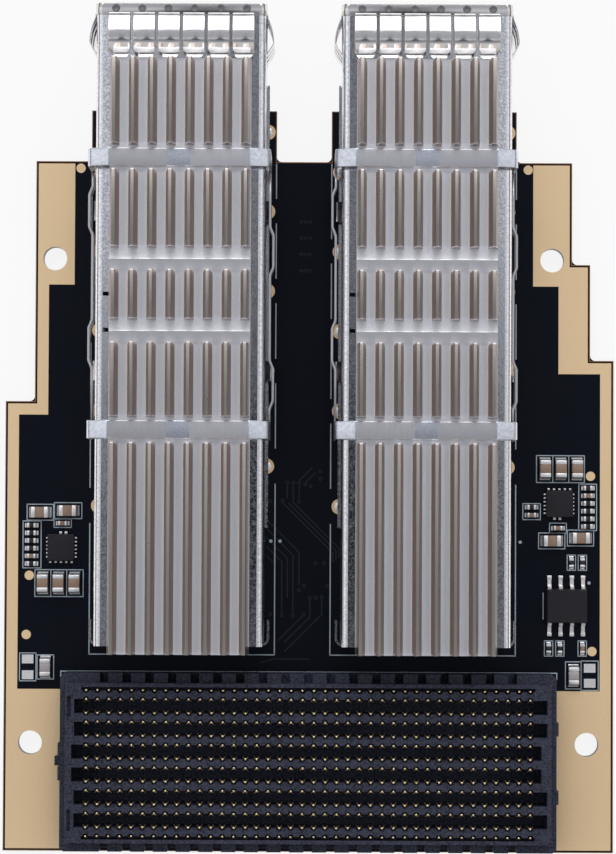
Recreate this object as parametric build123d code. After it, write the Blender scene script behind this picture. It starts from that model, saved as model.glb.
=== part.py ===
from build123d import *
import os

# Mezzanine card with two pluggable transceiver cages and a 40 by 14 board-to-board connector.
# Millimetres. X runs across the card, Y towards the cage mouths, Z up from the board's underside.
# The origin is midway between the two screw holes beside the board-to-board connector.

# Board outline
board_side_margin = 6.72
board_thickness = 1.6
rear_edge_gap = 0.375
shoulder_y = 66.0
tongue_reach = 5.8
left_upper_inset = 3.3
left_step_y = 38.65
right_upper_inset = 4.74
right_upper_step_y = 54.4
right_middle_inset = 2.67
right_lower_step_y = 43.5
notch_radius = 0.6
screw_hole_diameter = 2.7
rear_screw_inset = 3.0
front_left_screw_inset = 2.21
front_right_screw_inset = 2.25
front_screw_setback = 11.1

# Exposed gold plating on the board's top
plating_thickness = 0.05
plating_margin = 0.27
plating_strip = 1.25
front_field_reach = 4.15
front_field_length = 13.8
rear_field_gap = 0.3
rear_field_setback = 2.025

# Cages: where they stand, and their folded sheet
cage_spacing = 27.29
cage_pair_shift = -0.73
tongue_width = 21.04
cage_width = 18.84
cage_height = 9.75
cage_overhang = 10.7
cage_rear_gap = 3.225
sheet = 0.25
bend_radius = 0.8
floor_gap = 0.05
flange_height = 1.6
flange_setback = 8.0
side_slip = 0.05

# Cage pins in the board
pin_width = 0.5
pin_bottom_z = 0.15
pin_clearance = 0.15
pin_hole_diameter = 1.0
pin_hole_outset = 0.08
pin_setback = 13.1
pin_pitch = 9.06
pin_last_gap = 10.85
pin_stagger = 4.55

# Rear wall of a cage, with its corner tabs
tab_gap = 0.33
tab_reach = 2.9
tab_bottom = 2.6
tab_height = 4.6
tab_bend_radius = 0.9

# Spring fingers round a cage mouth
front_strip = 1.3
window_length = 4.7
window_width = 2.43
window_chamfer = 0.45
finger_pitch = 2.75
finger_width = 2.3
finger_sheet = 0.1
finger_rise = 1.45
finger_crest = 3.2
finger_run = 4.2
finger_bend = 0.7
finger_tuck = 0.1
top_finger_count = 6
side_finger_count = 3

# Riding heat sink
sink_overhang = 0.85
sink_setback = 6.3
sink_base = 1.2
sink_seat_gap = 0.05
fin_count = 8
fin_pitch = 2.07
fin_root = 1.05
fin_tip = 0.42
fin_height = 2.3
clip_groove = 2.74
front_fins = 9.63
second_fins = 8.61
middle_fins = 5.52
fourth_fins = 8.28
flat_gap = 2.44
foot_width = 14.2
foot_drop = 0.3
foot_clearance = 0.3
foot_length = 30.0
foot_setback = 22.5

# Guide tongue in a cage's top, beside the heat sink
stop_slot_length = 0.65
stop_slot_width = 0.45
stop_tongue = 4.0
stop_tongue_width = 0.35
stop_rise = 0.3
stop_gap = 0.12
stop_setback = 34.3

# Clip that holds the heat sink down
clip_sheet = 0.3
clip_gap = 0.38
strap_width = 2.0
strap_shoulder_z = 13.45
strap_shoulder_x = 7.2
strap_flat = 2.54
strap_bend = 1.0
strap_soft_bend = 0.5
rail_height = 2.2
rail_bottom = 4.4
rail_bump = 0.38
rail_bump_length = 3.7
rail_bump_ramp = 0.9
rail_bump_pitch = 15.0
rail_bend = 0.7
left_bump_offset = 5.3
right_bump_offset = 9.8
rail_web = 0.5
clip_shift = -0.1
catch_offset = 5.2
catch_pitch = 18.0
catch_reach = 0.6
catch_length = 2.2
catch_height = 1.1
catch_slip = 0.05
catch_window = 2.6

# Module receptacle inside a cage
receptacle_width = 16.6
receptacle_length = 12.5
receptacle_height = 7.6
receptacle_clearance = 0.3
nose_length = 3.4
receptacle_slope = 1.7
nose_height = 5.2
slot_width = 15.4
slot_height = 1.4
slot_depth = 6.2
slot_z = 3.4
receptacle_contacts = 19
receptacle_pitch = 0.8
receptacle_contact_width = 0.3
receptacle_contact_length = 1.8
receptacle_row_start = 1.4
receptacle_row_step = 2.4
receptacle_contact_sag = 0.32

# Board-to-board connector
connector_y = -1.875
connector_end_wall = 3.015
connector_side_wall = 2.33
connector_chamfer = 0.45
rim_height = 4.3
block_height = 5.7
block_end_margin = 0.65
contact_pitch = 1.27
contact_columns = 40
rib_pitch = 2.54
rib_count = 7
rib_width = 0.74
ledge_width = 1.1
ledge_height = 3.0
channel_floor = 1.4
edge_channel = 0.3
field_margin = 0.5
left_channel_wall = 1.88
right_channel_wall = 1.13
left_middle_wall = 1.48
right_middle_wall = 1.78
notch_width = 0.95
notch_depth = 1.05
notch_floor = 0.5
notch_count = 19
contact_width = 0.42
contact_head = 0.1
contact_tip_drop = 0.05
key_length = 1.5
key_reach = 0.28
key_lift = 0.3
key_height = 3.9
right_key_offset = 3.82
left_key_offset = 1.34
centre_key_reach = 0.72
centre_key_length = 1.0
centre_key_height = 2.6
end_recess_width = 0.68
end_recess_length = 2.4
end_recess_depth = 0.5
end_recess_offset = 6.35
end_recess_inset = 1.1

# Chip parts
large_chip = (2.0, 1.25, 1.25)
grey_chip = (2.0, 1.2, 1.0)
small_chip = (1.0, 0.5, 0.45)
resistor_chip = (1.0, 0.5, 0.35)
body_share = 0.52
end_cap_proud = 0.03
solder_height = 0.04
regulator_side = 3.0
regulator_height = 0.8
regulator_pad = (0.26, 0.34)
regulator_pad_height = 0.4
regulator_pad_pitch = 0.43
regulator_edge_pitch = 0.61
regulator_flank_count = 6
regulator_near_count = 5
regulator_far_count = 2
driver_length = 4.7
driver_width = 3.9
driver_height = 1.5
driver_pitch = 1.27
driver_draft = 0.3
driver_lead_count = 4
lead_width = 0.42
lead_sheet = 0.2
lead_span = 6.2
lead_foot = 0.7
lead_standoff = 0.15
pad_size = (1.3, 1.0)
pad_height = 0.08
bank_pitch = 0.87
left_bank_place = (3.04, 16.495)
right_bank_place = (2.88, 20.975)

# How far a cutter reaches past what it cuts
overreach = 1.0

# Worked out from the sizes above
connector_length = (contact_columns - 1) * contact_pitch + 2 * connector_end_wall
connector_depth = (rib_count - 1) * rib_pitch + 2 * connector_side_wall
connector_front_y = connector_y + connector_depth / 2
half_board = connector_length / 2 + board_side_margin
rear_edge_y = connector_y - connector_depth / 2 - rear_edge_gap
left_upper_x = left_upper_inset - half_board
right_upper_x = half_board - right_upper_inset
top_z = board_thickness
cage_top_z = top_z + cage_height
tongue_y = shoulder_y + tongue_reach
cage_front_y = tongue_y + cage_overhang
cage_rear_y = connector_front_y + cage_rear_gap
pin_front_y = cage_front_y - pin_setback
sink_front_y = cage_front_y - sink_setback
sink_rear_y = cage_rear_y - sink_overhang
foot_front_y = cage_front_y - foot_setback
foot_rear_y = foot_front_y - foot_length
stop_y = cage_front_y - stop_setback
half_cage = cage_width / 2
inner_half = half_cage - sheet
half_sink = ((fin_count - 1) * fin_pitch + fin_root) / 2
left_cage_x = cage_pair_shift - cage_spacing / 2
right_cage_x = cage_pair_shift + cage_spacing / 2
floor_top_z = top_z + floor_gap + sheet
ceiling_z = cage_top_z - sheet
side_middle_z = (floor_top_z + ceiling_z) / 2
sink_floor_z = cage_top_z + sink_seat_gap + sink_base
window_front_y = cage_front_y - front_strip
fin_blocks = []
block_front = sink_front_y
for length, gap in ((front_fins, clip_groove), (second_fins, flat_gap), (middle_fins, flat_gap),
                    (fourth_fins, clip_groove), (None, 0.0)):
    block_rear = sink_rear_y if length is None else block_front - length
    fin_blocks.append((block_rear, block_front))
    block_front = block_rear - gap
groove_ys = [fin_blocks[0][0] - clip_groove / 2, fin_blocks[3][0] - clip_groove / 2]
receptacle_rear_y = cage_rear_y + receptacle_clearance
receptacle_front_y = receptacle_rear_y + receptacle_length


def block(x0, x1, y0, y1, z0, z1):
    """A plain block between two opposite corners."""
    size = Box(x1 - x0, y1 - y0, z1 - z0)
    return Pos((x0 + x1) / 2, (y0 + y1) / 2, (z0 + z1) / 2) * size


def plate(points, z0, z1):
    """A flat polygon plate from height z0 to z1."""
    return extrude(Plane.XY.offset(z0) * make_face(Polyline(*points, close=True)), z1 - z0)


def across(face, y0, y1):
    """Carry a face drawn as (x, z) along Y from y0 to y1."""
    return extrude(Plane((0, y0, 0), x_dir=(1, 0, 0), z_dir=(0, -1, 0)) * face, -(y1 - y0))


def fuse(parts):
    """Join a list of touching shapes into one solid."""
    first, *rest = parts
    return first.fuse(*rest) if rest else first


def group(parts):
    """Keep a list of separate solids together as one shape."""
    return Compound(children=[solid for part in parts for solid in part.solids()])


def pin_places(centre_x):
    """Plan places of one cage's board pins, staggered between its two sides."""
    places = []
    for side in (1, -1):
        y = pin_front_y if side > 0 else pin_front_y - pin_stagger
        for gap in (pin_pitch, pin_pitch, pin_pitch, pin_last_gap, 0.0):
            places.append((centre_x, side, y))
            y -= gap
    return places


def all_pins():
    return pin_places(left_cage_x) + pin_places(right_cage_x)


def pin_hole_x(centre_x, side):
    return centre_x + side * (half_cage + pin_hole_outset)


def screw_places():
    """Plan places of the four screw holes."""
    rear = [(side * (half_board - rear_screw_inset), 0.0) for side in (-1, 1)]
    front_y = shoulder_y - front_screw_setback
    front = [(left_upper_x + front_left_screw_inset, front_y),
             (right_upper_x - front_right_screw_inset, front_y)]
    return rear + front


def outline(margin):
    """Corner points of the board, drawn in from its edge by a margin."""
    right_middle_x = half_board - right_middle_inset
    points = [(-half_board + margin, rear_edge_y + margin), (-half_board + margin, left_step_y - margin),
              (left_upper_x + margin, left_step_y - margin), (left_upper_x + margin, shoulder_y - margin)]
    for centre_x in (left_cage_x, right_cage_x):
        left, right = centre_x - tongue_width / 2, centre_x + tongue_width / 2
        points += [(left + margin, shoulder_y - margin), (left + margin, tongue_y - margin),
                   (right - margin, tongue_y - margin), (right - margin, shoulder_y - margin)]
    for x, y in ((right_upper_x, shoulder_y), (right_upper_x, right_upper_step_y),
                 (right_middle_x, right_upper_step_y), (right_middle_x, right_lower_step_y),
                 (half_board, right_lower_step_y)):
        points.append((x - margin, y - margin))
    points.append((half_board - margin, rear_edge_y + margin))
    return points


def circuit_board():
    """Laminate with stepped sides, two tongues, four screw holes and the cages' pin holes."""
    solid = plate(outline(0.0), 0.0, top_z)
    inner = [edge for edge in solid.edges().filter_by(Axis.Z) if edge_is_inner(edge)]
    solid = fillet(inner, notch_radius)
    holes = [Pos(x, y, top_z / 2) * Cylinder(screw_hole_diameter / 2, 2 * top_z) for x, y in screw_places()]
    holes += [Pos(pin_hole_x(cx, side), y, top_z / 2) * Cylinder(pin_hole_diameter / 2, 2 * top_z)
              for cx, side, y in all_pins()]
    return solid.cut(*holes)


def edge_is_inner(edge):
    """True for the upright edges in the board's notches, whose corners point inwards."""
    notches = [(left_upper_x, left_step_y), (right_upper_x, right_upper_step_y),
               (half_board - right_middle_inset, right_lower_step_y)]
    for centre_x in (left_cage_x, right_cage_x):
        notches += [(centre_x + side * tongue_width / 2, shoulder_y) for side in (-1, 1)]
    middle = edge.center()
    return any(abs(middle.X - x) < 0.01 and abs(middle.Y - y) < 0.01 for x, y in notches)


def gold_field(side, upper_inset, steps):
    """One side's plating: a field at each screw hole and a narrow strip along the board's edge."""
    edge = half_board - plating_margin
    inner = edge - plating_strip
    field = connector_length / 2 + rear_field_gap
    field_top = connector_front_y - rear_field_setback
    upper = half_board - upper_inset - plating_margin
    top, rear = shoulder_y - plating_margin, rear_edge_y + plating_margin
    points = [(upper - front_field_reach, top), (upper, top)]
    points += [(half_board - inset - plating_margin, y - plating_margin) for inset, y in steps]
    points += [(edge, rear), (field, rear), (field, field_top), (inner, field_top)]
    below = steps[-1][1] - plating_margin - plating_strip
    field_end = top - front_field_length
    points += [(inner, below), (upper - plating_strip, below)]
    points += [(upper - plating_strip, field_end), (upper - front_field_reach, field_end)]
    return plate([(side * x, y) for x, y in points], top_z, top_z + plating_thickness)


def exposed_plating():
    """Gold left bare by the mask: a field round each screw hole and a strip along each edge."""
    left = gold_field(-1, left_upper_inset, [(left_upper_inset, left_step_y), (0.0, left_step_y)])
    right = gold_field(1, right_upper_inset,
                       [(right_upper_inset, right_upper_step_y), (right_middle_inset, right_upper_step_y),
                        (right_middle_inset, right_lower_step_y), (0.0, right_lower_step_y)])
    middle_z = top_z + plating_thickness / 2
    screws = [Pos(x, y, middle_z) * Cylinder(screw_hole_diameter / 2, 2 * plating_thickness)
              for x, y in screw_places()]
    return group([left.cut(*screws), right.cut(*screws)])


def channel_face(half_width, z0, z1, radius):
    """Upright section with a flat foot and two rounded top corners."""
    face = Pos(0, (z0 + z1) / 2) * Rectangle(2 * half_width, z1 - z0)
    return fillet(face.vertices().sort_by(Axis.Y)[-2:], radius)


def front_windows(centre_x, z0, z1):
    """Cutters for the row of windows behind a cage's front strip, with chamfered rear corners."""
    cutters = []
    rear = window_front_y - window_length
    half = window_width / 2
    for x in spaced(centre_x, top_finger_count, finger_pitch):
        points = [(x - half, window_front_y), (x + half, window_front_y), (x + half, rear + window_chamfer),
                  (x + half - window_chamfer, rear), (x - half + window_chamfer, rear),
                  (x - half, rear + window_chamfer)]
        cutters.append(plate(points, z0, z1))
    return cutters


def spaced(middle, count, pitch):
    """Evenly spaced values about a middle."""
    return [middle + (index - (count - 1) / 2) * pitch for index in range(count)]


def catch_ys():
    """Places along a cage of the catches that hold the clip's rails."""
    first = groove_ys[0] - catch_offset
    return [first, first - catch_pitch]


def cage_shell(centre_x):
    """Folded sheet cage: top, sides and rear wall, cut for a heat sink, spring fingers and pins."""
    tube = channel_face(half_cage, floor_top_z, cage_top_z, bend_radius)
    bore = channel_face(inner_half, floor_top_z, ceiling_z, bend_radius - sheet)
    shell = across(tube, cage_rear_y, cage_front_y) - across(bore, cage_rear_y + sheet, cage_front_y)
    ears = rear_ears()
    tongue_x = -half_sink - stop_gap - stop_slot_length
    tongue_ends = (stop_y - stop_tongue / 2, stop_y + stop_tongue / 2)
    tongue = block(tongue_x, tongue_x + stop_tongue_width, *tongue_ends, ceiling_z, cage_top_z + stop_rise)
    slots = [block(tongue_x, tongue_x + stop_slot_length, y - stop_slot_width / 2, y + stop_slot_width / 2,
                   ceiling_z - overreach, cage_top_z + overreach) for y in tongue_ends]
    half_opening = foot_width / 2 + foot_clearance
    opening = block(-half_opening, half_opening, foot_rear_y - foot_clearance, foot_front_y + foot_clearance,
                    ceiling_z - overreach, cage_top_z + overreach)
    side_windows = [block(-half_cage - overreach, half_cage + overreach, window_front_y - window_length,
                          window_front_y, z - window_width / 2, z + window_width / 2)
                    for z in spaced(side_middle_z, side_finger_count, finger_pitch)]
    shell = shell.fuse(ears, tongue).cut(opening, *slots, *side_windows)
    shell = shell.cut(*front_windows(0.0, ceiling_z - overreach, cage_top_z + overreach))
    catches = [side_catch(side, y) for side in (-1, 1) for y in catch_ys()]
    tails = [block(*sorted((side * half_cage, side * inner_half)), y - pin_width / 2, y + pin_width / 2,
                   pin_bottom_z, floor_top_z + sheet)
             for _, side, y in pin_places(0.0)]
    return Pos(centre_x, 0, 0) * shell.fuse(*catches, *tails)


def rear_ears():
    """Strip of the rear wall whose ends wrap round outside the cage's sides."""
    reach = half_cage + tab_gap + sheet
    points = [(reach, cage_rear_y + tab_reach), (reach, cage_rear_y), (-reach, cage_rear_y),
              (-reach, cage_rear_y + tab_reach)]
    outer = fillet(make_face(Polyline(*points, close=True)).vertices().sort_by(Axis.Y)[:2], tab_bend_radius)
    inside, past = reach - sheet, cage_rear_y + tab_reach + overreach
    inner_points = [(inside, past), (inside, cage_rear_y + sheet), (-inside, cage_rear_y + sheet),
                    (-inside, past)]
    inner_face = make_face(Polyline(*inner_points, close=True))
    inner = fillet(inner_face.vertices().sort_by(Axis.Y)[:2], tab_bend_radius - sheet)
    z0 = floor_top_z + tab_bottom
    return extrude(Plane.XY.offset(z0) * (outer - inner), tab_height)


def side_catch(side, y):
    """Wedge lanced out of a cage's side, flat below, that the clip's rail snaps past."""
    z0 = rail_bottom + rail_web + catch_slip
    face = make_face(Polyline((side * (half_cage - sheet / 2), z0), (side * (half_cage + catch_reach), z0),
                              (side * (half_cage - sheet / 2), z0 + catch_height), close=True))
    return across(face, y - catch_length / 2, y + catch_length / 2)


def cage_floor(centre_x):
    """Tray under a cage: floor with finger windows, side flanges outside the shell, pin slots."""
    rear = receptacle_front_y + receptacle_clearance
    flange_front = cage_front_y - flange_setback
    outer = half_cage + side_slip + sheet
    z0 = top_z + floor_gap
    tray = block(-outer, outer, rear, flange_front, z0, z0 + flange_height)
    tray = fillet(tray.edges().filter_by(Axis.Y).group_by(Axis.Z)[0], sheet)
    inside = half_cage + side_slip
    hollow = block(-inside, inside, rear, flange_front, floor_top_z, z0 + flange_height)
    front = block(-half_cage, half_cage, flange_front, cage_front_y, z0, floor_top_z)
    tray = (tray - hollow).fuse(front)
    half_slot = pin_width / 2 + pin_clearance
    slots = [block(*sorted((side * inside, side * (inner_half - pin_clearance))), y - half_slot,
                   y + half_slot, z0 - overreach, floor_top_z) for _, side, y in pin_places(0.0)]
    tray = tray.cut(*slots, *front_windows(0.0, z0 - overreach, floor_top_z + overreach))
    return Pos(centre_x, 0, 0) * tray


def spring_fingers(centre_x):
    """Thin stamping round a cage mouth: a collar with bowed fingers that tuck into the windows."""
    bottom = top_z + floor_gap
    outer = channel_face(half_cage + finger_sheet, bottom - finger_sheet, cage_top_z + finger_sheet,
                         bend_radius + finger_sheet)
    inner = channel_face(half_cage, bottom, cage_top_z, bend_radius)
    collar = across(outer - inner, window_front_y, cage_front_y)
    fingers = []
    for x in spaced(0.0, top_finger_count, finger_pitch):
        fingers.append(Pos(x, 0, cage_top_z) * finger())
        fingers.append(Pos(x, 0, bottom) * Rot(0, 180, 0) * finger())
    for z in spaced(side_middle_z, side_finger_count, finger_pitch):
        fingers.append(Pos(half_cage, 0, z) * Rot(0, 90, 0) * finger())
        fingers.append(Pos(-half_cage, 0, z) * Rot(0, -90, 0) * finger())
    return Pos(centre_x, 0, 0) * collar.fuse(*fingers)


def finger():
    """One spring finger that bows up from a surface at height zero and dips its tip just below it."""
    points = [(window_front_y, 0.0), (window_front_y - finger_crest, finger_rise),
              (window_front_y - finger_run, -finger_tuck)]
    line = FilletPolyline(*points, radius=finger_bend)
    profile = make_face(offset(line, amount=finger_sheet, side=Side.RIGHT))
    return extrude(Plane.YZ.offset(-finger_width / 2) * profile, finger_width)


def heat_sink(centre_x):
    """Extruded heat sink: base, drafted fins cut into blocks, and the foot that meets a module."""
    base_z = cage_top_z + sink_seat_gap
    base = block(-half_sink, half_sink, sink_rear_y, sink_front_y, base_z, sink_floor_z)
    foot = block(-foot_width / 2, foot_width / 2, foot_rear_y, foot_front_y, ceiling_z - foot_drop, base_z)
    fins = []
    for x in spaced(0.0, fin_count, fin_pitch):
        root, tip, top = fin_root / 2, fin_tip / 2, sink_floor_z + fin_height
        section = make_face(Polyline((x - root, sink_floor_z), (x - tip, top), (x + tip, top),
                                     (x + root, sink_floor_z), close=True))
        fins += [across(section, y0, y1) for y0, y1 in fin_blocks]
    return Pos(centre_x, 0, 0) * base.fuse(foot, *fins)


def strap(y):
    """One strap of a clip: legs down both sides, rounded shoulders and a dip that presses the sink."""
    leg = half_cage + clip_gap
    shoulder = strap_shoulder_z - clip_sheet
    half = [(-leg, rail_bottom), (-leg, shoulder), (-strap_shoulder_x, shoulder),
            (-strap_flat / 2, sink_floor_z)]
    points = half + [(-x, z) for x, z in reversed(half)]
    radii = (strap_bend, strap_soft_bend, strap_soft_bend, strap_soft_bend, strap_soft_bend, strap_bend)
    line = FilletPolyline(*points, radius=radii)
    face = make_face(offset(line, amount=clip_sheet, side=Side.LEFT))
    return across(face, y - strap_width / 2, y + strap_width / 2)


def rail(side, bump_offset):
    """Side rail of a clip between its straps, with two outward bumps, drawn edge-on from above."""
    front, rear = groove_ys
    level = half_cage + clip_gap
    points = [(level, front)]
    for bump in (0, 1):
        middle = front - bump_offset - bump * rail_bump_pitch
        flat = rail_bump_length / 2
        points += [(level, middle + flat + rail_bump_ramp), (level + rail_bump, middle + flat),
                   (level + rail_bump, middle - flat), (level, middle - flat - rail_bump_ramp)]
    points.append((level, rear))
    line = FilletPolyline(*points, radius=rail_bend)
    face = make_face(offset(line, amount=clip_sheet, side=Side.LEFT))
    strip = extrude(Plane.XY.offset(rail_bottom) * face, rail_height)
    return strip if side > 0 else mirror(strip, Plane.YZ)


def retaining_clip(centre_x):
    """One stamping that holds a heat sink down: two straps joined by two rails with catch windows."""
    clip = fuse([strap(y) for y in groove_ys] + [rail(-1, left_bump_offset), rail(1, right_bump_offset)])
    reach = half_cage + clip_gap + clip_sheet + rail_bump + overreach
    windows = [block(-reach, reach, y - catch_window / 2, y + catch_window / 2, rail_bottom + rail_web,
                     rail_bottom + rail_height - rail_web) for y in catch_ys()]
    return Pos(centre_x + clip_shift, 0, 0) * clip.cut(*windows)


def receptacle_housing(centre_x):
    """Moulded receptacle at the back of a cage, with a nose that holds the card edge slot."""
    half = receptacle_width / 2
    z0, z1 = top_z, top_z + receptacle_height
    body = block(-half, half, receptacle_rear_y, receptacle_front_y - nose_length, z0, z1)
    body = chamfer(body.edges().group_by(Axis.Z)[-1].sort_by(Axis.Y)[:1], receptacle_slope)
    nose = block(-half, half, receptacle_front_y - nose_length, receptacle_front_y, z0, z0 + nose_height)
    slot = block(-slot_width / 2, slot_width / 2, receptacle_front_y - slot_depth, receptacle_front_y,
                 z0 + slot_z - slot_height / 2, z0 + slot_z + slot_height / 2)
    return Pos(centre_x, 0, 0) * body.fuse(nose).cut(slot)


def receptacle_contact_rows(centre_x):
    """Bowed contacts in two rows above and two below the card edge slot."""
    parts = []
    for x in spaced(0.0, receptacle_contacts, receptacle_pitch):
        for row in (0, 1):
            y = receptacle_front_y - receptacle_row_start - row * receptacle_row_step
            for side in (-1, 1):
                z = top_z + slot_z + side * slot_height / 2
                points = [(y - receptacle_contact_length / 2, z), (y + receptacle_contact_length / 2, z),
                          (y, z - side * receptacle_contact_sag)]
                face = make_face(Polyline(*points, close=True))
                parts.append(extrude(Plane.YZ.offset(centre_x + x - receptacle_contact_width / 2) * face,
                                     receptacle_contact_width))
    return group(parts)


def mezzanine_housing():
    """Moulded housing: notched rim, raised block, ribs between channels, and keys at both ends."""
    half_x, half_y = connector_length / 2, connector_depth / 2
    rim = block(-half_x, half_x, -half_y, half_y, 0.0, rim_height)
    rim = chamfer(rim.edges().filter_by(Axis.Z), connector_chamfer)
    raised_x, raised_y = half_x - block_end_margin, half_y - notch_depth
    raised = block(-raised_x, raised_x, -raised_y, raised_y, 0.0, block_height)
    cuts = channels() + end_recesses()
    for x in spaced(0.0, notch_count, rib_pitch):
        for side in (-1, 1):
            y0, y1 = sorted((side * raised_y, side * (half_y + overreach)))
            cuts.append(block(x - notch_width / 2, x + notch_width / 2, y0, y1, notch_floor, block_height))
    housing = rim.fuse(raised, *end_keys()).cut(*cuts)
    return Pos(0, connector_y, top_z) * housing


def channels():
    """Cutters for the channels between ribs, widened beside the contacts down to their ledge."""
    cutters = []
    field = (contact_columns - 1) * contact_pitch / 2 + field_margin
    rib_ys = spaced(0.0, rib_count, rib_pitch)
    for index, (y0, y1) in enumerate(zip(rib_ys[:-1], rib_ys[1:])):
        middle = index in (len(rib_ys) // 2 - 1, len(rib_ys) // 2)
        left = (left_middle_wall if middle else left_channel_wall) - connector_length / 2
        right = connector_length / 2 - (right_middle_wall if middle else right_channel_wall)
        for x0, x1, width, floor in ((left, right, ledge_width, channel_floor),
                                     (-field, field, rib_width, ledge_height)):
            cutters.append(block(x0, x1, y0 + width / 2, y1 - width / 2, floor, block_height + overreach))
    for side in (-1, 1):
        edge = side * (rib_ys[-1] + ledge_width / 2 + edge_channel)
        low, high = sorted((side * (rib_ys[-1] + ledge_width / 2), edge))
        cutters.append(block(-field, field, low, high, channel_floor, block_height + overreach))
        low, high = sorted((side * (rib_ys[-1] + rib_width / 2), edge))
        cutters.append(block(-field, field, low, high, ledge_height, block_height + overreach))
    return cutters


def end_recesses():
    """Cutters for the two shallow recesses in the left end wall."""
    x0 = end_recess_inset - connector_length / 2
    floor, half = block_height - end_recess_depth, end_recess_length / 2
    return [block(x0, x0 + end_recess_width, y - half, y + half, floor, block_height)
            for y in (-end_recess_offset, end_recess_offset)]


def end_keys():
    """Keys on the end walls that let the mating half fit one way round."""
    half_x = connector_length / 2
    keys = []
    for side, offset in ((1, right_key_offset), (-1, left_key_offset)):
        x0, x1 = sorted((side * (half_x - block_end_margin), side * (half_x + key_reach)))
        for y in (-offset, offset):
            keys.append(block(x0, x1, y - key_length / 2, y + key_length / 2, key_lift, key_height))
    keys.append(block(-half_x - centre_key_reach, -half_x + block_end_margin, -centre_key_length / 2,
                      centre_key_length / 2, key_lift, centre_key_height))
    return keys


def mezzanine_contacts():
    """The contact field: wedges standing on the ribs' ledges, on both sides of each rib."""
    parts = []
    z0, z1 = top_z + ledge_height, top_z + block_height - contact_tip_drop
    foot = (ledge_width - rib_width) / 2
    for rib_y in spaced(connector_y, rib_count, rib_pitch):
        for side in (-1, 1):
            y = rib_y + side * rib_width / 2
            points = [(y, z0), (y + side * foot, z0), (y + side * contact_head, z1)]
            face = make_face(Polyline(*points, close=True))
            prism = extrude(Plane.YZ.offset(-contact_width / 2) * face, contact_width)
            parts += [Pos(x, 0, 0) * prism for x in spaced(0.0, contact_columns, contact_pitch)]
    return group(parts)


def chip_body(place, size):
    """Body of a two-ended chip part between its metal ends."""
    x, y, turn = place
    length, width, height = size
    body = block(-length * body_share / 2, length * body_share / 2, -width / 2, width / 2, 0, height)
    return Pos(x, y, top_z + solder_height) * Rot(0, 0, turn) * body


def chip_ends(place, size):
    """Metal ends of a chip part, a little proud of its body and standing on their solder."""
    x, y, turn = place
    length, width, height = size
    ends = []
    for side in (-1, 1):
        x0, x1 = sorted((side * length * body_share / 2, side * length / 2))
        wide = width / 2 + end_cap_proud
        ends.append(block(x0, x1, -wide, wide, -solder_height, height + end_cap_proud))
    return [Pos(x, y, top_z + solder_height) * Rot(0, 0, turn) * end for end in ends]


def chips(places, size):
    """Bodies and ends of all chip parts of one size, as two shapes."""
    bodies = [chip_body(place, size) for place in places]
    ends = [end for place in places for end in chip_ends(place, size)]
    return group(bodies), group(ends)


def bank(place, rows):
    """Chip places in one of the banks beside the regulators, counted down from the top row."""
    x, y = place
    return [(x, y - row * bank_pitch, 0) for row in rows]


def on_board(left, right):
    """Places on the board from their distances to its left or right edge and to the connector's front."""
    places = [(x - half_board, connector_front_y + y, *turn) for x, y, *turn in left]
    return places + [(half_board - x, connector_front_y + y, *turn) for x, y, *turn in right]


large_left = [(4.0, 17.975, 0), (7.16, 18.165, 0)] + [(x, 9.965, 90) for x in (4.36, 6.15, 7.95)]
large_right = [(6.98, 14.975, 0), (3.72, 15.315, 0)] + [(x, 23.145, 90) for x in (7.76, 5.98, 4.14)]
large_places = on_board(large_left, large_right)
grey_places = on_board([(4.7, 0.455, 90)], [(4.5, -0.235, 90)])
small_capacitor_places = on_board([(6.55, 16.735, 0)] + bank(left_bank_place, [4]),
                                  [(6.28, 16.425, 0), (9.28, 17.885, 0), (3.5, 2.805, 90)]
                                  + bank(right_bank_place, [1]))
resistor_right = [(9.28, 18.785, 0), (4.75, 12.515, 90), (3.5, 12.515, 90)]
resistor_right += [(7.31, 2.795, 90), (6.04, 2.795, 90)]
resistor_places = on_board(bank(left_bank_place, [0, 1, 2, 3, 5]),
                           resistor_right + bank(right_bank_place, [0, 2, 3, 4, 5]))
regulator_places = on_board([(6.4, 13.995)], [(6.13, 19.175)])
driver_places = on_board([], [(5.34, 7.625)])
pad_places = on_board([(2.69, 1.355), (2.7, -0.435)], [(2.66, 0.585), (2.65, -1.115)])


def regulator_bodies():
    """Square leadless chips beside the connector, one on each side of the card."""
    half = regulator_side / 2
    z0 = top_z + solder_height
    return group([block(x - half, x + half, y - half, y + half, z0, z0 + regulator_height)
                  for x, y in regulator_places])


def regulator_terminals():
    """Solder fillets round the leadless chips: six down each flank, five at one end, two at the other."""
    parts = []
    wide, out = regulator_pad
    half = regulator_side / 2
    for index, (x, y) in enumerate(regulator_places):
        end = -1 if index == 0 else 1
        reach = half + out / 2
        fillets = [(side * reach, v, 0) for v in spaced(0, regulator_flank_count, regulator_pad_pitch)
                   for side in (-1, 1)]
        fillets += [(u, end * reach, 90) for u in spaced(0, regulator_near_count, regulator_edge_pitch)]
        fillets += [(u, -end * reach, 90) for u in spaced(0, regulator_far_count, regulator_edge_pitch)]
        parts += [Pos(x + u, y + v, top_z + regulator_pad_height / 2) * Rot(0, 0, turn)
                  * Box(out, wide, regulator_pad_height) for u, v, turn in fillets]
    return group(parts)


def driver_body():
    """Moulded body of the eight-lead chip, with drafted sides."""
    x, y = driver_places[0]
    half = (driver_height - lead_standoff) / 2
    z0 = top_z + lead_standoff
    waist = Rectangle(driver_length, driver_width)
    drawn_in = Rectangle(driver_length - driver_draft, driver_width - driver_draft)
    lower = loft([Plane.XY.offset(z0) * drawn_in, Plane.XY.offset(z0 + half) * waist])
    upper = loft([Plane.XY.offset(z0 + half) * waist, Plane.XY.offset(z0 + 2 * half) * drawn_in])
    return Pos(x, y, 0) * lower.fuse(upper)


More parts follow.
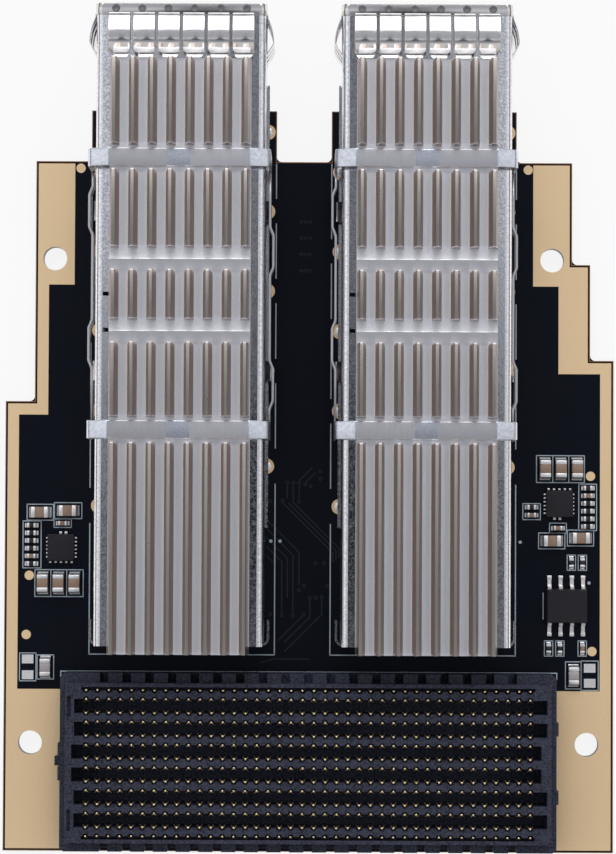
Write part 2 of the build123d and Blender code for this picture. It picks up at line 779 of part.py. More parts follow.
def driver_leads():
    """Eight gull-wing leads, four on each long side of the chip."""
    x0, y0 = driver_places[0]
    middle_z = top_z + lead_standoff + (driver_height - lead_standoff) / 2
    start, end = driver_width / 2, lead_span / 2
    knee = end - lead_foot
    foot_z = top_z + lead_sheet
    points = [(start, middle_z), (start + lead_sheet, middle_z), (knee, foot_z), (end, foot_z)]
    face = make_face(offset(Polyline(*points), amount=lead_sheet, side=Side.RIGHT, kind=Kind.INTERSECTION))
    lead = extrude(Plane.YZ.offset(-lead_width / 2) * face, lead_width)
    parts = []
    for x in spaced(x0, driver_lead_count, driver_pitch):
        parts += [Pos(x, y0, 0) * lead, Pos(x, y0, 0) * mirror(lead, Plane.XZ)]
    return group(parts)


def solder_pads():
    """Empty footprints: tinned pads in pairs."""
    long, wide = pad_size
    return group([Pos(x, y, top_z + pad_height / 2) * Box(long, wide, pad_height) for x, y in pad_places])


def save(shape, name):
    shape.label = name
    export_step(shape, f"parts/{name}.step")


os.makedirs("parts", exist_ok=True)
save(circuit_board(), "circuit_board")
save(exposed_plating(), "exposed_plating")
save(mezzanine_housing(), "mezzanine_housing")
save(mezzanine_contacts(), "mezzanine_contacts")
for side_name, cage_x in (("left", left_cage_x), ("right", right_cage_x)):
    save(cage_shell(cage_x), f"{side_name}_cage_shell")
    save(cage_floor(cage_x), f"{side_name}_cage_floor")
    save(spring_fingers(cage_x), f"{side_name}_spring_fingers")
    save(heat_sink(cage_x), f"{side_name}_heat_sink")
    save(retaining_clip(cage_x), f"{side_name}_retaining_clip")
    save(receptacle_housing(cage_x), f"{side_name}_receptacle_housing")
    save(receptacle_contact_rows(cage_x), f"{side_name}_receptacle_contacts")
for chip_name, chip_places, chip_size in (("large_capacitor", large_places, large_chip),
                                          ("grey_capacitor", grey_places, grey_chip),
                                          ("small_capacitor", small_capacitor_places, small_chip),
                                          ("resistor", resistor_places, resistor_chip)):
    chip_bodies, chip_end_caps = chips(chip_places, chip_size)
    save(chip_bodies, f"{chip_name}_bodies")
    save(chip_end_caps, f"{chip_name}_ends")
save(regulator_bodies(), "regulator_bodies")
save(regulator_terminals(), "regulator_terminals")
save(driver_body(), "driver_body")
save(driver_leads(), "driver_leads")
save(solder_pads(), "solder_pads")
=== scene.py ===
"""Looks of a mezzanine card with two transceiver cages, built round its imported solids.

Lengths in the functions are millimetres in the card's own frame: X across, Y towards the cage
mouths, Z up from the board's underside. They become metres where a mesh is made. The floor, the
lamps and the camera are placed in metres.
"""
import math

import bpy
import numpy as np
from mathutils import Matrix, Vector


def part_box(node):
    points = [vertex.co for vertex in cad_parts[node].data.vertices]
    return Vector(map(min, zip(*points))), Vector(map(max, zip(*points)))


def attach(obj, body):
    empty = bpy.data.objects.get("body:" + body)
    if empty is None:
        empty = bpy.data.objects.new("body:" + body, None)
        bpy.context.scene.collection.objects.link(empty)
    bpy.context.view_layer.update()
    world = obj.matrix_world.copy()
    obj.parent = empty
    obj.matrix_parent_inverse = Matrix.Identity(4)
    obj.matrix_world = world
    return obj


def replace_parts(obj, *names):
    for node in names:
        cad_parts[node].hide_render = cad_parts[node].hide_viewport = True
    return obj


MM = 0.001
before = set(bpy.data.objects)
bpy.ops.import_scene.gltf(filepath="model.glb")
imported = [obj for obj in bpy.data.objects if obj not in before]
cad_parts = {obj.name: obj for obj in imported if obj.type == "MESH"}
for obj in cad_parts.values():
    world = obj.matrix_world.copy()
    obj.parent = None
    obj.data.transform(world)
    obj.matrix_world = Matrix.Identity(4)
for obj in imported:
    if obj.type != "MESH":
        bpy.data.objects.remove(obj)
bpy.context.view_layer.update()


def node_box(node):
    """Lowest and highest corner of a solid of the frame, in millimetres."""
    low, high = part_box(node)
    return np.array(low) / MM, np.array(high) / MM


# Sizes read from the frame, in millimetres
TOP = node_box("circuit_board")[1][2]
CAGE_FRONT = node_box("left_cage_shell")[1][1]
SIDES = ("left", "right")
CAGE_X = {side: sum(corner[0] for corner in node_box(side + "_cage_floor")) / 2 for side in SIDES}
sink_low, sink_high = node_box("left_heat_sink")

# Sizes of the pieces that this script shapes, in millimetres
SHEET = 0.25
CAGE_HALF = 9.42
CAGE_TOP = TOP + 9.75
FLOOR_GAP = 0.05
WINDOW_FRONT = CAGE_FRONT - 1.3
FINGER_PITCH = 2.75
FINGER_WIDTH = 2.4
FINGER_SHEET = 0.1
FIN_COUNT = 8
FIN_PITCH = 2.07
SINK_HALF = (sink_high[0] - sink_low[0]) / 2
SINK_UNDERSIDE = CAGE_TOP + 0.05
SINK_FLOOR = SINK_UNDERSIDE + 1.2
FIN_HEIGHT = sink_high[2] - SINK_FLOOR
# Rear and front end of each block of fins, from the mouth backwards
FIN_BLOCKS = ((66.57, 76.2), (55.22, 63.83), (47.26, 52.78), (36.54, 44.82), (10.45, 33.8))
SIDE_DROP = 0.05
MILLED_STEP = 0.03
CHANNEL_BOW = 0.16
CLIP_SHEET = 0.3
CLIP_OUT = 10.1
CLIP_TOP = 13.45
CLIP_FOOT = 4.4
RIB_PITCH = 2.54
RIB_COUNT = 7
CONTACT_PITCH = 1.27
CONTACT_COLUMNS = 40
CONNECTOR_Y = -1.875
INK_LINE = 0.13
THIN_INK_LINE = INK_LINE * 0.8
INK_DOT = 0.19

# Heights of the thin layers on the board
RIM_Z = TOP + 0.006
TRACK_Z = TOP + 0.008
INK_Z = TOP + 0.012
LAND_Z = TOP + 0.02
SPOT_Z = TOP + 0.03


# Mesh helpers


def spaced(middle, count, pitch):
    """Evenly spaced values about a middle."""
    return middle + (np.arange(count) - (count - 1) / 2) * pitch


def add_piece(name, points, faces, materials, slot, index=None, sharp=30.0, replaces=()):
    """Make a mesh of points in millimetres and faces, and tie it to the card's one body."""
    mesh = bpy.data.meshes.new(name)
    metres = (np.asarray(points, float) * MM).tolist()
    mesh.from_pydata(metres, [], [list(map(int, face)) for face in faces])
    mesh.validate()
    for material in materials:
        mesh.materials.append(material)
    if index is not None:
        mesh.polygons.foreach_set("material_index", np.asarray(index, np.int32))
    mesh.polygons.foreach_set("use_smooth", np.ones(len(mesh.polygons), bool))
    mesh.set_sharp_from_angle(angle=math.radians(sharp))
    mesh.update()
    piece = bpy.data.objects.new(name, mesh)
    bpy.context.scene.collection.objects.link(piece)
    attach(piece, "root")
    if replaces:
        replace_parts(piece, *replaces)
    return piece


def lattice(rows, columns, wrap_rows=False, wrap_columns=False):
    """Quads joining a grid of points numbered row by row, closed round on either axis if asked."""
    i = np.arange(rows if wrap_rows else rows - 1)
    j = np.arange(columns if wrap_columns else columns - 1)
    i, j = np.meshgrid(i, j, indexing="ij")
    i, j = i.ravel(), j.ravel()
    ii, jj = (i + 1) % rows, (j + 1) % columns
    return np.stack([i * columns + j, ii * columns + j, ii * columns + jj, i * columns + jj], 1)


def join(parts):
    """Join (points, faces) pairs into one pair, with the faces renumbered."""
    points, faces, start = [], [], 0
    for part_points, part_faces in parts:
        points.append(np.asarray(part_points, float))
        faces += [[start + int(v) for v in face] for face in part_faces]
        start += len(part_points)
    return np.vstack(points), faces


def prism(outline, z0, z1):
    """Closed block over a plan outline given anticlockwise: two caps and a band of walls."""
    outline = np.asarray(outline, float)
    count = len(outline)
    points = np.vstack([np.c_[outline, np.full(count, z0)], np.c_[outline, np.full(count, z1)]])
    faces = [list(range(count))[::-1], [count + k for k in range(count)]]
    faces += [[k, (k + 1) % count, count + (k + 1) % count, count + k] for k in range(count)]
    return points, faces


def box_part(x0, x1, y0, y1, z0, z1):
    """A block between two corners, as points and faces."""
    return prism([(x0, y0), (x1, y0), (x1, y1), (x0, y1)], z0, z1)


def turn_plan(points, degrees):
    """Turn points about the upright axis, in place."""
    cosine, sine = math.cos(math.radians(degrees)), math.sin(math.radians(degrees))
    points[:, :2] = points[:, :2] @ np.array([[cosine, sine], [-sine, cosine]])


def pillow(centre, size, round_edge, turn=0.0):
    """A block with rounded edges: points of a finely cut cube are pulled in to the block less the
    edge radius, then pushed out by that radius along the line from there."""
    half = np.array(size) / 2
    cuts = np.array([-1.0, -0.985, -0.93, 0.93, 0.985, 1.0])
    grid_u, grid_v = np.meshgrid(cuts, cuts, indexing="ij")
    sides, faces = [], []
    quads = lattice(len(cuts), len(cuts))
    for axis in range(3):
        for sign in (-1, 1):
            cube = [None, None, None]
            cube[axis] = np.full_like(grid_u, sign)
            cube[(axis + 1) % 3] = grid_u
            cube[(axis + 2) % 3] = grid_v
            faces.append((quads if sign > 0 else quads[:, ::-1]) + len(sides) * grid_u.size)
            sides.append(np.stack([c.ravel() for c in cube], 1))
    cube = np.vstack(sides) * half
    edge = np.minimum(round_edge, half.min())
    core = np.clip(cube, edge - half, half - edge)
    out = cube - core
    length = np.maximum(np.linalg.norm(out, axis=1, keepdims=True), 1e-9)
    points = core + out / length * edge
    turn_plan(points, turn)
    return points + np.array(centre), np.vstack(faces)


def disc(x, y, radius, z, count=28, inner=0.0):
    """Flat round pad, or a ring where an inner radius is given."""
    angle = np.linspace(0, 2 * math.pi, count, endpoint=False)
    outer = np.c_[x + radius * np.cos(angle), y + radius * np.sin(angle), np.full(count, z)]
    if not inner:
        return outer, [list(range(count))]
    ring = np.c_[x + inner * np.cos(angle), y + inner * np.sin(angle), np.full(count, z)]
    return np.vstack([ring, outer]), lattice(2, count, wrap_columns=True)


def strip(points, width, z):
    """Flat line of one width along plan points, with mitred corners."""
    path = np.asarray(points, float)
    run = np.diff(path, axis=0)
    run /= np.linalg.norm(run, axis=1, keepdims=True)
    before = np.vstack([run[:1], run])
    after = np.vstack([run, run[-1:]])
    across = before + after
    across /= np.linalg.norm(across, axis=1, keepdims=True)
    normal = np.c_[-across[:, 1], across[:, 0]]
    cosine = np.sum(normal * np.c_[-before[:, 1], before[:, 0]], axis=1, keepdims=True)
    least_cosine = 0.4
    offset = normal / np.maximum(cosine, least_cosine) * width / 2
    rows = np.vstack([path + offset, path - offset])
    return np.c_[rows, np.full(len(rows), z)], lattice(2, len(path))


# Shader helpers


def wire(tree, socket, value):
    """Feed a socket from another one, or set it to a plain value."""
    if isinstance(value, bpy.types.NodeSocket):
        tree.links.new(value, socket)
    else:
        socket.default_value = value


def add_node(tree, kind, inputs=(), **settings):
    """Add a node with its settings, and wire its inputs from (name or number, value) pairs."""
    node = tree.nodes.new("ShaderNode" + kind)
    for name, value in settings.items():
        setattr(node, name, value)
    for key, value in inputs:
        wire(tree, node.inputs[key], value)
    return node


def maths(tree, operation, *values):
    """Output of a math node fed by sockets or numbers."""
    return add_node(tree, "Math", enumerate(values), operation=operation).outputs[0]


def scaled(tree, vector, factor):
    """Output of a vector or colour times a number."""
    node = add_node(tree, "VectorMath", ((0, vector), ("Scale", factor)), operation="SCALE")
    return node.outputs["Vector"]


def smooth_range(tree, value, source, target):
    """Output of a smooth step of a value from one pair of bounds to another."""
    inputs = (("Value", value), ("From Min", source[0]), ("From Max", source[1]), ("To Min", target[0]),
              ("To Max", target[1]))
    return add_node(tree, "MapRange", inputs, interpolation_type="SMOOTHSTEP").outputs[0]


def new_group(name, inputs):
    """Shader node group with named inputs, and with a colour, a roughness and a normal for outputs."""
    tree = bpy.data.node_groups.new(name, "ShaderNodeTree")
    kinds = {"f": "NodeSocketFloat", "c": "NodeSocketColor", "v": "NodeSocketVector"}
    for socket, kind, value in inputs:
        made = tree.interface.new_socket(name=socket, in_out="INPUT", socket_type=kinds[kind])
        made.default_value = value
    for socket, kind in (("Colour", "c"), ("Roughness", "f"), ("Normal", "v")):
        tree.interface.new_socket(name=socket, in_out="OUTPUT", socket_type=kinds[kind])
    return tree, tree.nodes.new("NodeGroupInput").outputs, tree.nodes.new("NodeGroupOutput").inputs


def close_group(tree, ins, outs, shade, roughness, height, depth):
    """Wire a group's outputs: the colour made lighter by a share, the roughness, and a bump from a
    height whose depth is in metres."""
    wire(tree, outs["Colour"], scaled(tree, ins["Colour"], maths(tree, "ADD", shade, 1.0)))
    wire(tree, outs["Roughness"], roughness)
    bump = add_node(tree, "Bump", (("Distance", depth), ("Strength", ins["Bump"]), ("Height", height)))
    wire(tree, outs["Normal"], bump.outputs["Normal"])


def mottle_group():
    """Fine speckle and broad cloudiness of one colour, with a bump height from the speckle."""
    tree, ins, outs = new_group("mottled_surface",
                                [("Colour", "c", (0.5, 0.5, 0.5, 1)), ("Grain Scale", "f", 4000.0),
                                 ("Grain Amount", "f", 0.2), ("Cloud Scale", "f", 150.0),
                                 ("Cloud Amount", "f", 0.1), ("Roughness", "f", 0.4), ("Bump", "f", 0.1)])
    place = add_node(tree, "TexCoord").outputs["Object"]
    grain = add_node(tree, "TexNoise", (("Vector", place), ("Scale", ins["Grain Scale"]), ("Detail", 3.0)))
    cloud = add_node(tree, "TexNoise", (("Vector", place), ("Scale", ins["Cloud Scale"])))
    grain_share, cloud_share = (
        maths(tree, "MULTIPLY", maths(tree, "SUBTRACT", noise.outputs["Fac"], 0.5), ins[amount])
        for noise, amount in ((grain, "Grain Amount"), (cloud, "Cloud Amount")))
    shade = maths(tree, "ADD", grain_share, cloud_share)
    roughness = maths(tree, "MULTIPLY_ADD", shade, -0.4, ins["Roughness"])
    close_group(tree, ins, outs, shade, roughness, grain.outputs["Fac"], 0.00002)
    return tree


def drawn_group():
    """Fine parallel drawing lines in a metal: noise stretched along one axis, with a fine speckle."""
    tree, ins, outs = new_group("drawn_lines",
                                [("Colour", "c", (0.7, 0.7, 0.7, 1)), ("Stretch", "v", (1.0, 0.03, 1.0)),
                                 ("Scale", "f", 3000.0), ("Amount", "f", 0.15), ("Roughness", "f", 0.3),
                                 ("Bump", "f", 0.1)])
    place = add_node(tree, "TexCoord").outputs["Object"]
    squeeze = add_node(tree, "VectorMath", ((0, place), (1, ins["Stretch"])), operation="MULTIPLY")
    lines = add_node(tree, "TexNoise", (("Vector", squeeze.outputs["Vector"]), ("Scale", ins["Scale"]),
                                        ("Detail", 4.0)))
    speck = add_node(tree, "TexNoise", (("Vector", place), ("Scale", 6500.0)))
    both = maths(tree, "ADD", lines.outputs["Fac"], speck.outputs["Fac"])
    centred = maths(tree, "SUBTRACT", both, 1.0)
    roughness = maths(tree, "MULTIPLY_ADD", centred, -0.2, ins["Roughness"])
    shade = maths(tree, "MULTIPLY", centred, ins["Amount"])
    close_group(tree, ins, outs, shade, roughness, both, 0.00001)
    return tree


MOTTLE = mottle_group()
DRAWN = drawn_group()


def rgb(red, green, blue):
    """Opaque colour."""
    return (red, green, blue, 1.0)


def surfaced(name, tree, metallic, values):
    """A material whose colour, roughness and normal come from one shared group."""
    material = bpy.data.materials.new(name)
    material.use_nodes = True
    shader = material.node_tree.nodes["Principled BSDF"]
    group = add_node(material.node_tree, "Group", node_tree=tree)
    for socket, value in values.items():
        group.inputs[socket].default_value = value
    for output, socket in (("Colour", "Base Color"), ("Roughness", "Roughness"), ("Normal", "Normal")):
        material.node_tree.links.new(group.outputs[output], shader.inputs[socket])
    shader.inputs["Metallic"].default_value = metallic
    return material


def mottled(name, colour, grain, cloud, roughness, bump, metallic=0.0):
    """Speckled and cloudy material; grain and cloud are each a scale and an amount."""
    return surfaced(name, MOTTLE, metallic,
                    {"Colour": rgb(*colour), "Grain Scale": grain[0], "Grain Amount": grain[1],
                     "Cloud Scale": cloud[0], "Cloud Amount": cloud[1], "Roughness": roughness,
                     "Bump": bump})


def drawn(name, colour, amount, roughness=0.36, bump=0.2, **values):
    """Drawn metal with fine lines along the card."""
    return surfaced(name, DRAWN, 1.0,
                    {"Colour": rgb(*colour), "Amount": amount, "Roughness": roughness, "Bump": bump,
                     **values})


BOARD = mottled("black_solder_mask", (0.0008, 0.0025, 0.0085), (2500.0, 0.5), (90.0, 0.6), 0.34, 0.1)
TRACE = mottled("mask_over_copper", (0.021, 0.024, 0.032), (2500.0, 0.4), (90.0, 0.3), 0.3, 0.1)
LAMINATE = mottled("bare_laminate_edge", (0.28, 0.13, 0.05), (3000.0, 0.6), (200.0, 0.4), 0.7, 0.3)
GOLD = mottled("immersion_gold", (1.0, 0.745, 0.45), (3500.0, 0.08), (120.0, 0.08), 0.5, 0.12, metallic=0.4)
CONTACT_GOLD = mottled("contact_gold", (1.0, 0.82, 0.52), (5000.0, 0.1), (400.0, 0.1), 0.34, 0.05,
                       metallic=1.0)
HOUSING = mottled("connector_plastic", (0.037, 0.041, 0.067), (4600.0, 3.2), (160.0, 0.5), 0.6, 0.8)
CAGE = mottled("plated_cage_sheet", (0.87, 0.88, 0.93), (4200.0, 0.8), (260.0, 0.12), 0.12, 0.08,
               metallic=1.0)
FINGER = mottled("bright_finger_sheet", (0.80, 0.79, 0.78), (2600.0, 0.05), (300.0, 0.06), 0.14, 0.05,
                 metallic=1.0)
SINK = drawn("plated_sink", (0.92, 0.92, 0.96), 0.16)
# Sink metal painted darker and browner for the fin tops: painted shade.
SINK_TOP_PAINTED_SHADE = drawn("fin_top_painted_shade", (0.53, 0.485, 0.45), 0.25, roughness=0.34, bump=0.3)
# Sink metal painted pale and warm for the fins' left feet: painted highlight.
SINK_FOOT_PAINTED_HIGHLIGHT = drawn("fin_foot_painted_highlight", (1.0, 0.93, 0.87), 0.2, roughness=0.5)
# Sink metal painted darkest for the fins' left flanks: painted shade.
SINK_LEFT_FLANK_PAINTED_SHADE = drawn("left_flank_painted_shade", (0.42, 0.355, 0.32), 0.3)
# Sink metal painted darker and browner for the fins' right flanks and rounded ends: painted shade.
SINK_FLANK_PAINTED_SHADE = drawn("right_flank_painted_shade", (0.58, 0.5, 0.455), 0.3)
# Clip steel painted brighter and bluer for the straps' pads and shoulders: a painted highlight, smoother and
# without drawing lines.
CLIP_PAINTED_HIGHLIGHT = mottled("clip_painted_highlight", (0.78, 0.82, 0.92), (2600.0, 0.5), (500.0, 0.3), 0.27, 0.3,
                   metallic=1.0)
CLIP = drawn("clip_steel", (0.68, 0.68, 0.71), 0.2, Stretch=(1.0, 0.05, 1.0), Scale=2600.0)
BLACK_PLASTIC = mottled("receptacle_plastic", (0.02, 0.02, 0.022), (4000.0, 0.2), (150.0, 0.1), 0.5, 0.1)
BROWN_CERAMIC = mottled("brown_ceramic", (0.33, 0.225, 0.165), (3000.0, 0.3), (500.0, 0.3), 0.4, 0.2)
GREY_CERAMIC = mottled("grey_ceramic", (0.46, 0.43, 0.44), (3000.0, 0.3), (500.0, 0.3), 0.4, 0.2)
TIN = mottled("solder_tin", (0.93, 0.92, 0.92), (2500.0, 0.25), (900.0, 0.4), 0.48, 0.5, metallic=1.0)
GLAZE = mottled("resistor_glaze", (0.02, 0.02, 0.024), (4000.0, 0.2), (150.0, 0.1), 0.3, 0.1)
EPOXY = mottled("chip_epoxy", (0.016, 0.016, 0.021), (4500.0, 0.8), (300.0, 0.3), 0.5, 0.5)
INK = mottled("white_legend_ink", (0.42, 0.50, 0.57), (3500.0, 0.25), (600.0, 0.3), 0.6, 0.2)
WELD = mottled("weld_spot_metal", (0.22, 0.215, 0.22), (3500.0, 0.8), (900.0, 0.6), 0.45, 0.6, metallic=1.0)

for dull, level in ((BOARD, 0.16), (TRACE, 0.16), (HOUSING, 0.3), (EPOXY, 0.3)):
    dull.node_tree.nodes["Principled BSDF"].inputs["Specular IOR Level"].default_value = level


# The board-to-board connector


def stepped_block(x_breaks, y_breaks, heights, base, corner_shift=None):
    """Closed block of columns: each cell of a grid has its own top height, and an upright wall
    stands wherever two neighbours differ. Outside the grid the height is the base."""
    nx, ny = heights.shape
    xs, ys = np.meshgrid(x_breaks, y_breaks, indexing="ij")
    if corner_shift is not None:
        xs, ys = corner_shift(xs, ys)
    i, j = np.meshgrid(np.arange(nx), np.arange(ny), indexing="ij")
    points, faces, start = [], [], 0

    def corners(a, b, z):
        """Points over grid corners at a height."""
        return np.stack([xs[a, b], ys[a, b], z], -1).reshape(-1, 3)

    def add_quads(quads):
        """Add one quad per cell from its four rows of corners."""
        nonlocal start
        count = len(quads[0])
        if count:
            points.append(np.stack(quads, 1).reshape(-1, 3))
            faces.append(start + np.arange(count * 4).reshape(-1, 4))
            start += count * 4

    tiny = 1e-6
    solid = heights > base + tiny
    a, b, z = i[solid], j[solid], heights[solid]
    low = np.full_like(z, base)
    add_quads([corners(a, b, z), corners(a + 1, b, z), corners(a + 1, b + 1, z), corners(a, b + 1, z)])
    add_quads([corners(a, b + 1, low), corners(a + 1, b + 1, low), corners(a + 1, b, low),
               corners(a, b, low)])
    padded = np.pad(heights, 1, constant_values=base)
    for axis in (0, 1):
        before = padded[:-1, 1:-1] if axis == 0 else padded[1:-1, :-1]
        after = padded[1:, 1:-1] if axis == 0 else padded[1:-1, 1:]
        for first, second, flip in ((before, after, False), (after, before, True)):
            k, m = np.nonzero(first > second + tiny)
            top, bottom = first[k, m], second[k, m]
            one = (k, m) if axis == 0 else (k + 1, m)
            two = (k, m + 1) if axis == 0 else (k, m)
            quad = [corners(*one, bottom), corners(*two, bottom), corners(*two, top), corners(*one, top)]
            add_quads(quad[::-1] if flip else quad)
    return np.vstack(points), np.vstack(faces)


def interval_mask(breaks, low, high):
    """True for the cells between two values of a sorted list of breaks."""
    middle = (breaks[:-1] + breaks[1:]) / 2
    return (middle > low) & (middle < high)


def connector_housing():
    """Moulded housing as a stepped block: a rim with notches, and a raised block with channels, ribs
    that have a pocket in two steps at every contact, and two shallow recesses. The block's corners
    are pulled in to a chamfer. Heights are over the board."""
    rim, raised, notch_floor, channel_floor, edge_floor = 4.3, 5.7, 0.5, 1.4, 4.4
    pocket_floor, recess_floor = 2.6, 5.2
    half_x, half_y = 27.78, 9.95
    raised_x, raised_y = half_x - 0.65, half_y - 1.05
    chamfer = 0.45
    field_x, field_y = 25.265, 8.47
    rib_half, ledge_half = 0.47, 0.55
    notch_half, notch_count = 0.475, 19
    pocket_steps = ((0.32, 0.3), (0.2, 0.2))
    recess_x, recess_y = (-26.85, -26.45), (5.15, 7.5)
    long_channel, middle_channel = (-26.1, 26.65), (-26.4, 26.0)
    ribs = spaced(0.0, RIB_COUNT, RIB_PITCH)
    columns = spaced(0.0, CONTACT_COLUMNS, CONTACT_PITCH)
    notches = spaced(0.0, notch_count, RIB_PITCH)
    xs = [-half_x, half_x, chamfer - half_x, half_x - chamfer, -raised_x, raised_x, -field_x, field_x]
    xs += [*recess_x, *long_channel, *middle_channel, *(notches - notch_half), *(notches + notch_half)]
    ys = [-half_y, half_y, chamfer - half_y, half_y - chamfer, -raised_y, raised_y, -field_y, field_y]
    ys += [sign * y for sign in (-1, 1) for y in recess_y]
    for wide, deep in pocket_steps:
        xs += [*(columns - wide), *(columns + wide)]
        ys += [*(ribs - deep), *(ribs + deep)]
    for wide in (rib_half, ledge_half):
        ys += [*(ribs - wide), *(ribs + wide)]
    xs = np.unique(np.round(xs, 4))
    ys = np.unique(np.round(ys, 4))
    heights = np.full((len(xs) - 1, len(ys) - 1), rim)

    def carve(x0, x1, y0, y1, height):
        """Set one height between two x and two y values, given in either order for y."""
        heights[np.ix_(interval_mask(xs, x0, x1), interval_mask(ys, min(y0, y1), max(y0, y1)))] = height

    carve(-raised_x, raised_x, -raised_y, raised_y, raised)
    for sign in (-1, 1):
        for x in notches:
            carve(x - notch_half, x + notch_half, sign * raised_y, sign * half_y, notch_floor)
        carve(-field_x, field_x, sign * field_y, sign * (ribs[-1] + rib_half), edge_floor)
        carve(*recess_x, sign * recess_y[0], sign * recess_y[1], recess_floor)
    for index in range(RIB_COUNT - 1):
        ends = middle_channel if index in (2, 3) else long_channel
        carve(*ends, ribs[index] + rib_half, ribs[index + 1] - rib_half, channel_floor)
    for rib in ribs:
        for x in columns:
            for side in (-1, 1):
                for wide, deep in pocket_steps:
                    carve(x - wide, x + wide, rib + side * deep, rib + side * ledge_half, pocket_floor)

    def chamfered(grid_x, grid_y):
        """Pull in the four corners of the grid."""
        for a in (0, -1):
            for b in (0, -1):
                grid_x[a, b] -= math.copysign(chamfer / 2, grid_x[a, b])
                grid_y[a, b] -= math.copysign(chamfer / 2, grid_y[a, b])
        return grid_x, grid_y + CONNECTOR_Y

    return stepped_block(xs, ys, heights + TOP, TOP, chamfered)


def tapered_key(wall, reach, y, half, height, slope):
    """Key on an end wall, from the wall's x out to its reach: a block whose top narrows by a slope on
    its three free sides."""
    foot = 0.3
    sign = math.copysign(1.0, reach)
    y0, y1 = CONNECTOR_Y + y - half, CONNECTOR_Y + y + half
    low = np.array([(wall, y0), (reach, y0), (reach, y1), (wall, y1)])
    high = low + slope * np.array([(0, 1), (-sign, 1), (-sign, -1), (0, -1)])
    points = np.vstack([np.c_[plan, np.full(4, TOP + z)]
                        for plan, z in ((low, foot), (low, height - slope), (high, height))])
    faces = [[3, 2, 1, 0], [8, 9, 10, 11]]
    for ring in (0, 4):
        faces += [[ring + k, ring + (k + 1) % 4, ring + 4 + (k + 1) % 4, ring + 4 + k] for k in range(4)]
    return points, faces if sign > 0 else [face[::-1] for face in faces]


def connector_keys():
    """The keys on the connector's end walls: two tall ones on each, and a low one on the left."""
    wall, reach, half, height, slope = 27.0, 28.05, 0.75, 3.9, 0.12
    parts = [tapered_key(wall, reach, y, half, height, slope) for y in (-3.82, 3.82)]
    parts += [tapered_key(-wall, -reach, y, half, height, slope) for y in (-1.34, 1.34)]
    return parts + [tapered_key(-wall, -28.5, 0.0, 0.5, 2.6, 0.1)]


def contact_blade():
    """One formed contact about its own place, with the rib at smaller y: a domed nose whose rings
    follow a quarter circle, and two open-ended arms that spread and sink into the channel. Three
    quads close the last ring, whose points are 16 to 23."""
    around = np.linspace(0, 2 * np.pi, 8, endpoint=False)
    nose_y, nose_z, half_wide, half_deep = 0.49, 5.42, 0.18, 0.17
    nose = []
    for lift in (0.0, 0.55, 0.88):
        reach = math.sqrt(1 - lift ** 2)
        nose.append(np.c_[half_wide * reach * np.cos(around), nose_y + half_deep * reach * np.sin(around),
                          np.full(8, nose_z + half_deep * lift)])
    tip = [[16, 17, 18, 19], [16, 19, 20, 23], [20, 21, 22, 23]]
    parts = [(np.vstack(nose), [list(face) for face in lattice(3, 8, wrap_columns=True)[:, ::-1]] + tip)]
    share = np.linspace(0, 1, 4)[:, None]
    root_x, root_y, root_z = 0.1, 0.54, 5.45
    spread, advance, drop = 0.2, 0.27, 0.5
    half_arm, half_sheet = 0.075, 0.05
    section = np.array([(half_arm, 0.0, 0.0), (0.0, 0.0, half_sheet), (-half_arm, 0.0, 0.0),
                        (0.0, 0.0, -half_sheet)])
    for side in (-1, 1):
        spine = np.hstack([side * (root_x + spread * share), root_y + advance * share,
                           root_z - drop * share ** 1.4])
        rows = spine[:, None, :] + section[None]
        parts.append((rows.reshape(-1, 3), lattice(4, 4, wrap_columns=True)))
    points, faces = join(parts)
    return points, np.array(faces)


def connector_contacts():
    """All contacts: the blade repeated along both sides of each rib, with a small seeded lean."""
    blade, faces = contact_blade()
    columns = spaced(0.0, CONTACT_COLUMNS, CONTACT_PITCH)
    ribs = spaced(CONNECTOR_Y, RIB_COUNT, RIB_PITCH)
    random, lean_spread = np.random.default_rng(5), 0.012
    points, all_faces = [], []
    for rib in ribs:
        for side in (-1, 1):
            lean = random.normal(0.0, lean_spread, (CONTACT_COLUMNS, 1, 2))
            facing = blade * np.array([side, side, 1.0])
            placed = np.repeat(facing[None], CONTACT_COLUMNS, 0)
            placed[:, :, 0] += columns[:, None] + lean[:, :, 0]
            placed[:, :, 1] += rib + lean[:, :, 1]
            placed[:, :, 2] += TOP
            start = len(points) * CONTACT_COLUMNS * len(blade)
            points.append(placed.reshape(-1, 3))
            shift = start + np.arange(CONTACT_COLUMNS)[:, None, None] * len(blade)
            all_faces.append((faces[None] + shift).reshape(-1, 4))
    return np.vstack(points), np.vstack(all_faces)


def make_connector():
    """Housing and contacts of the board-to-board connector."""
    add_piece("connector_housing", *join([connector_housing()] + connector_keys()), [HOUSING],
              "connector_plastic", sharp=20.0, replaces=("mezzanine_housing",))
    add_piece("connector_contacts", *connector_contacts(), [CONTACT_GOLD], "gold_contacts", sharp=60.0,
              replaces=("mezzanine_contacts",))


# Heat sinks and spring fingers


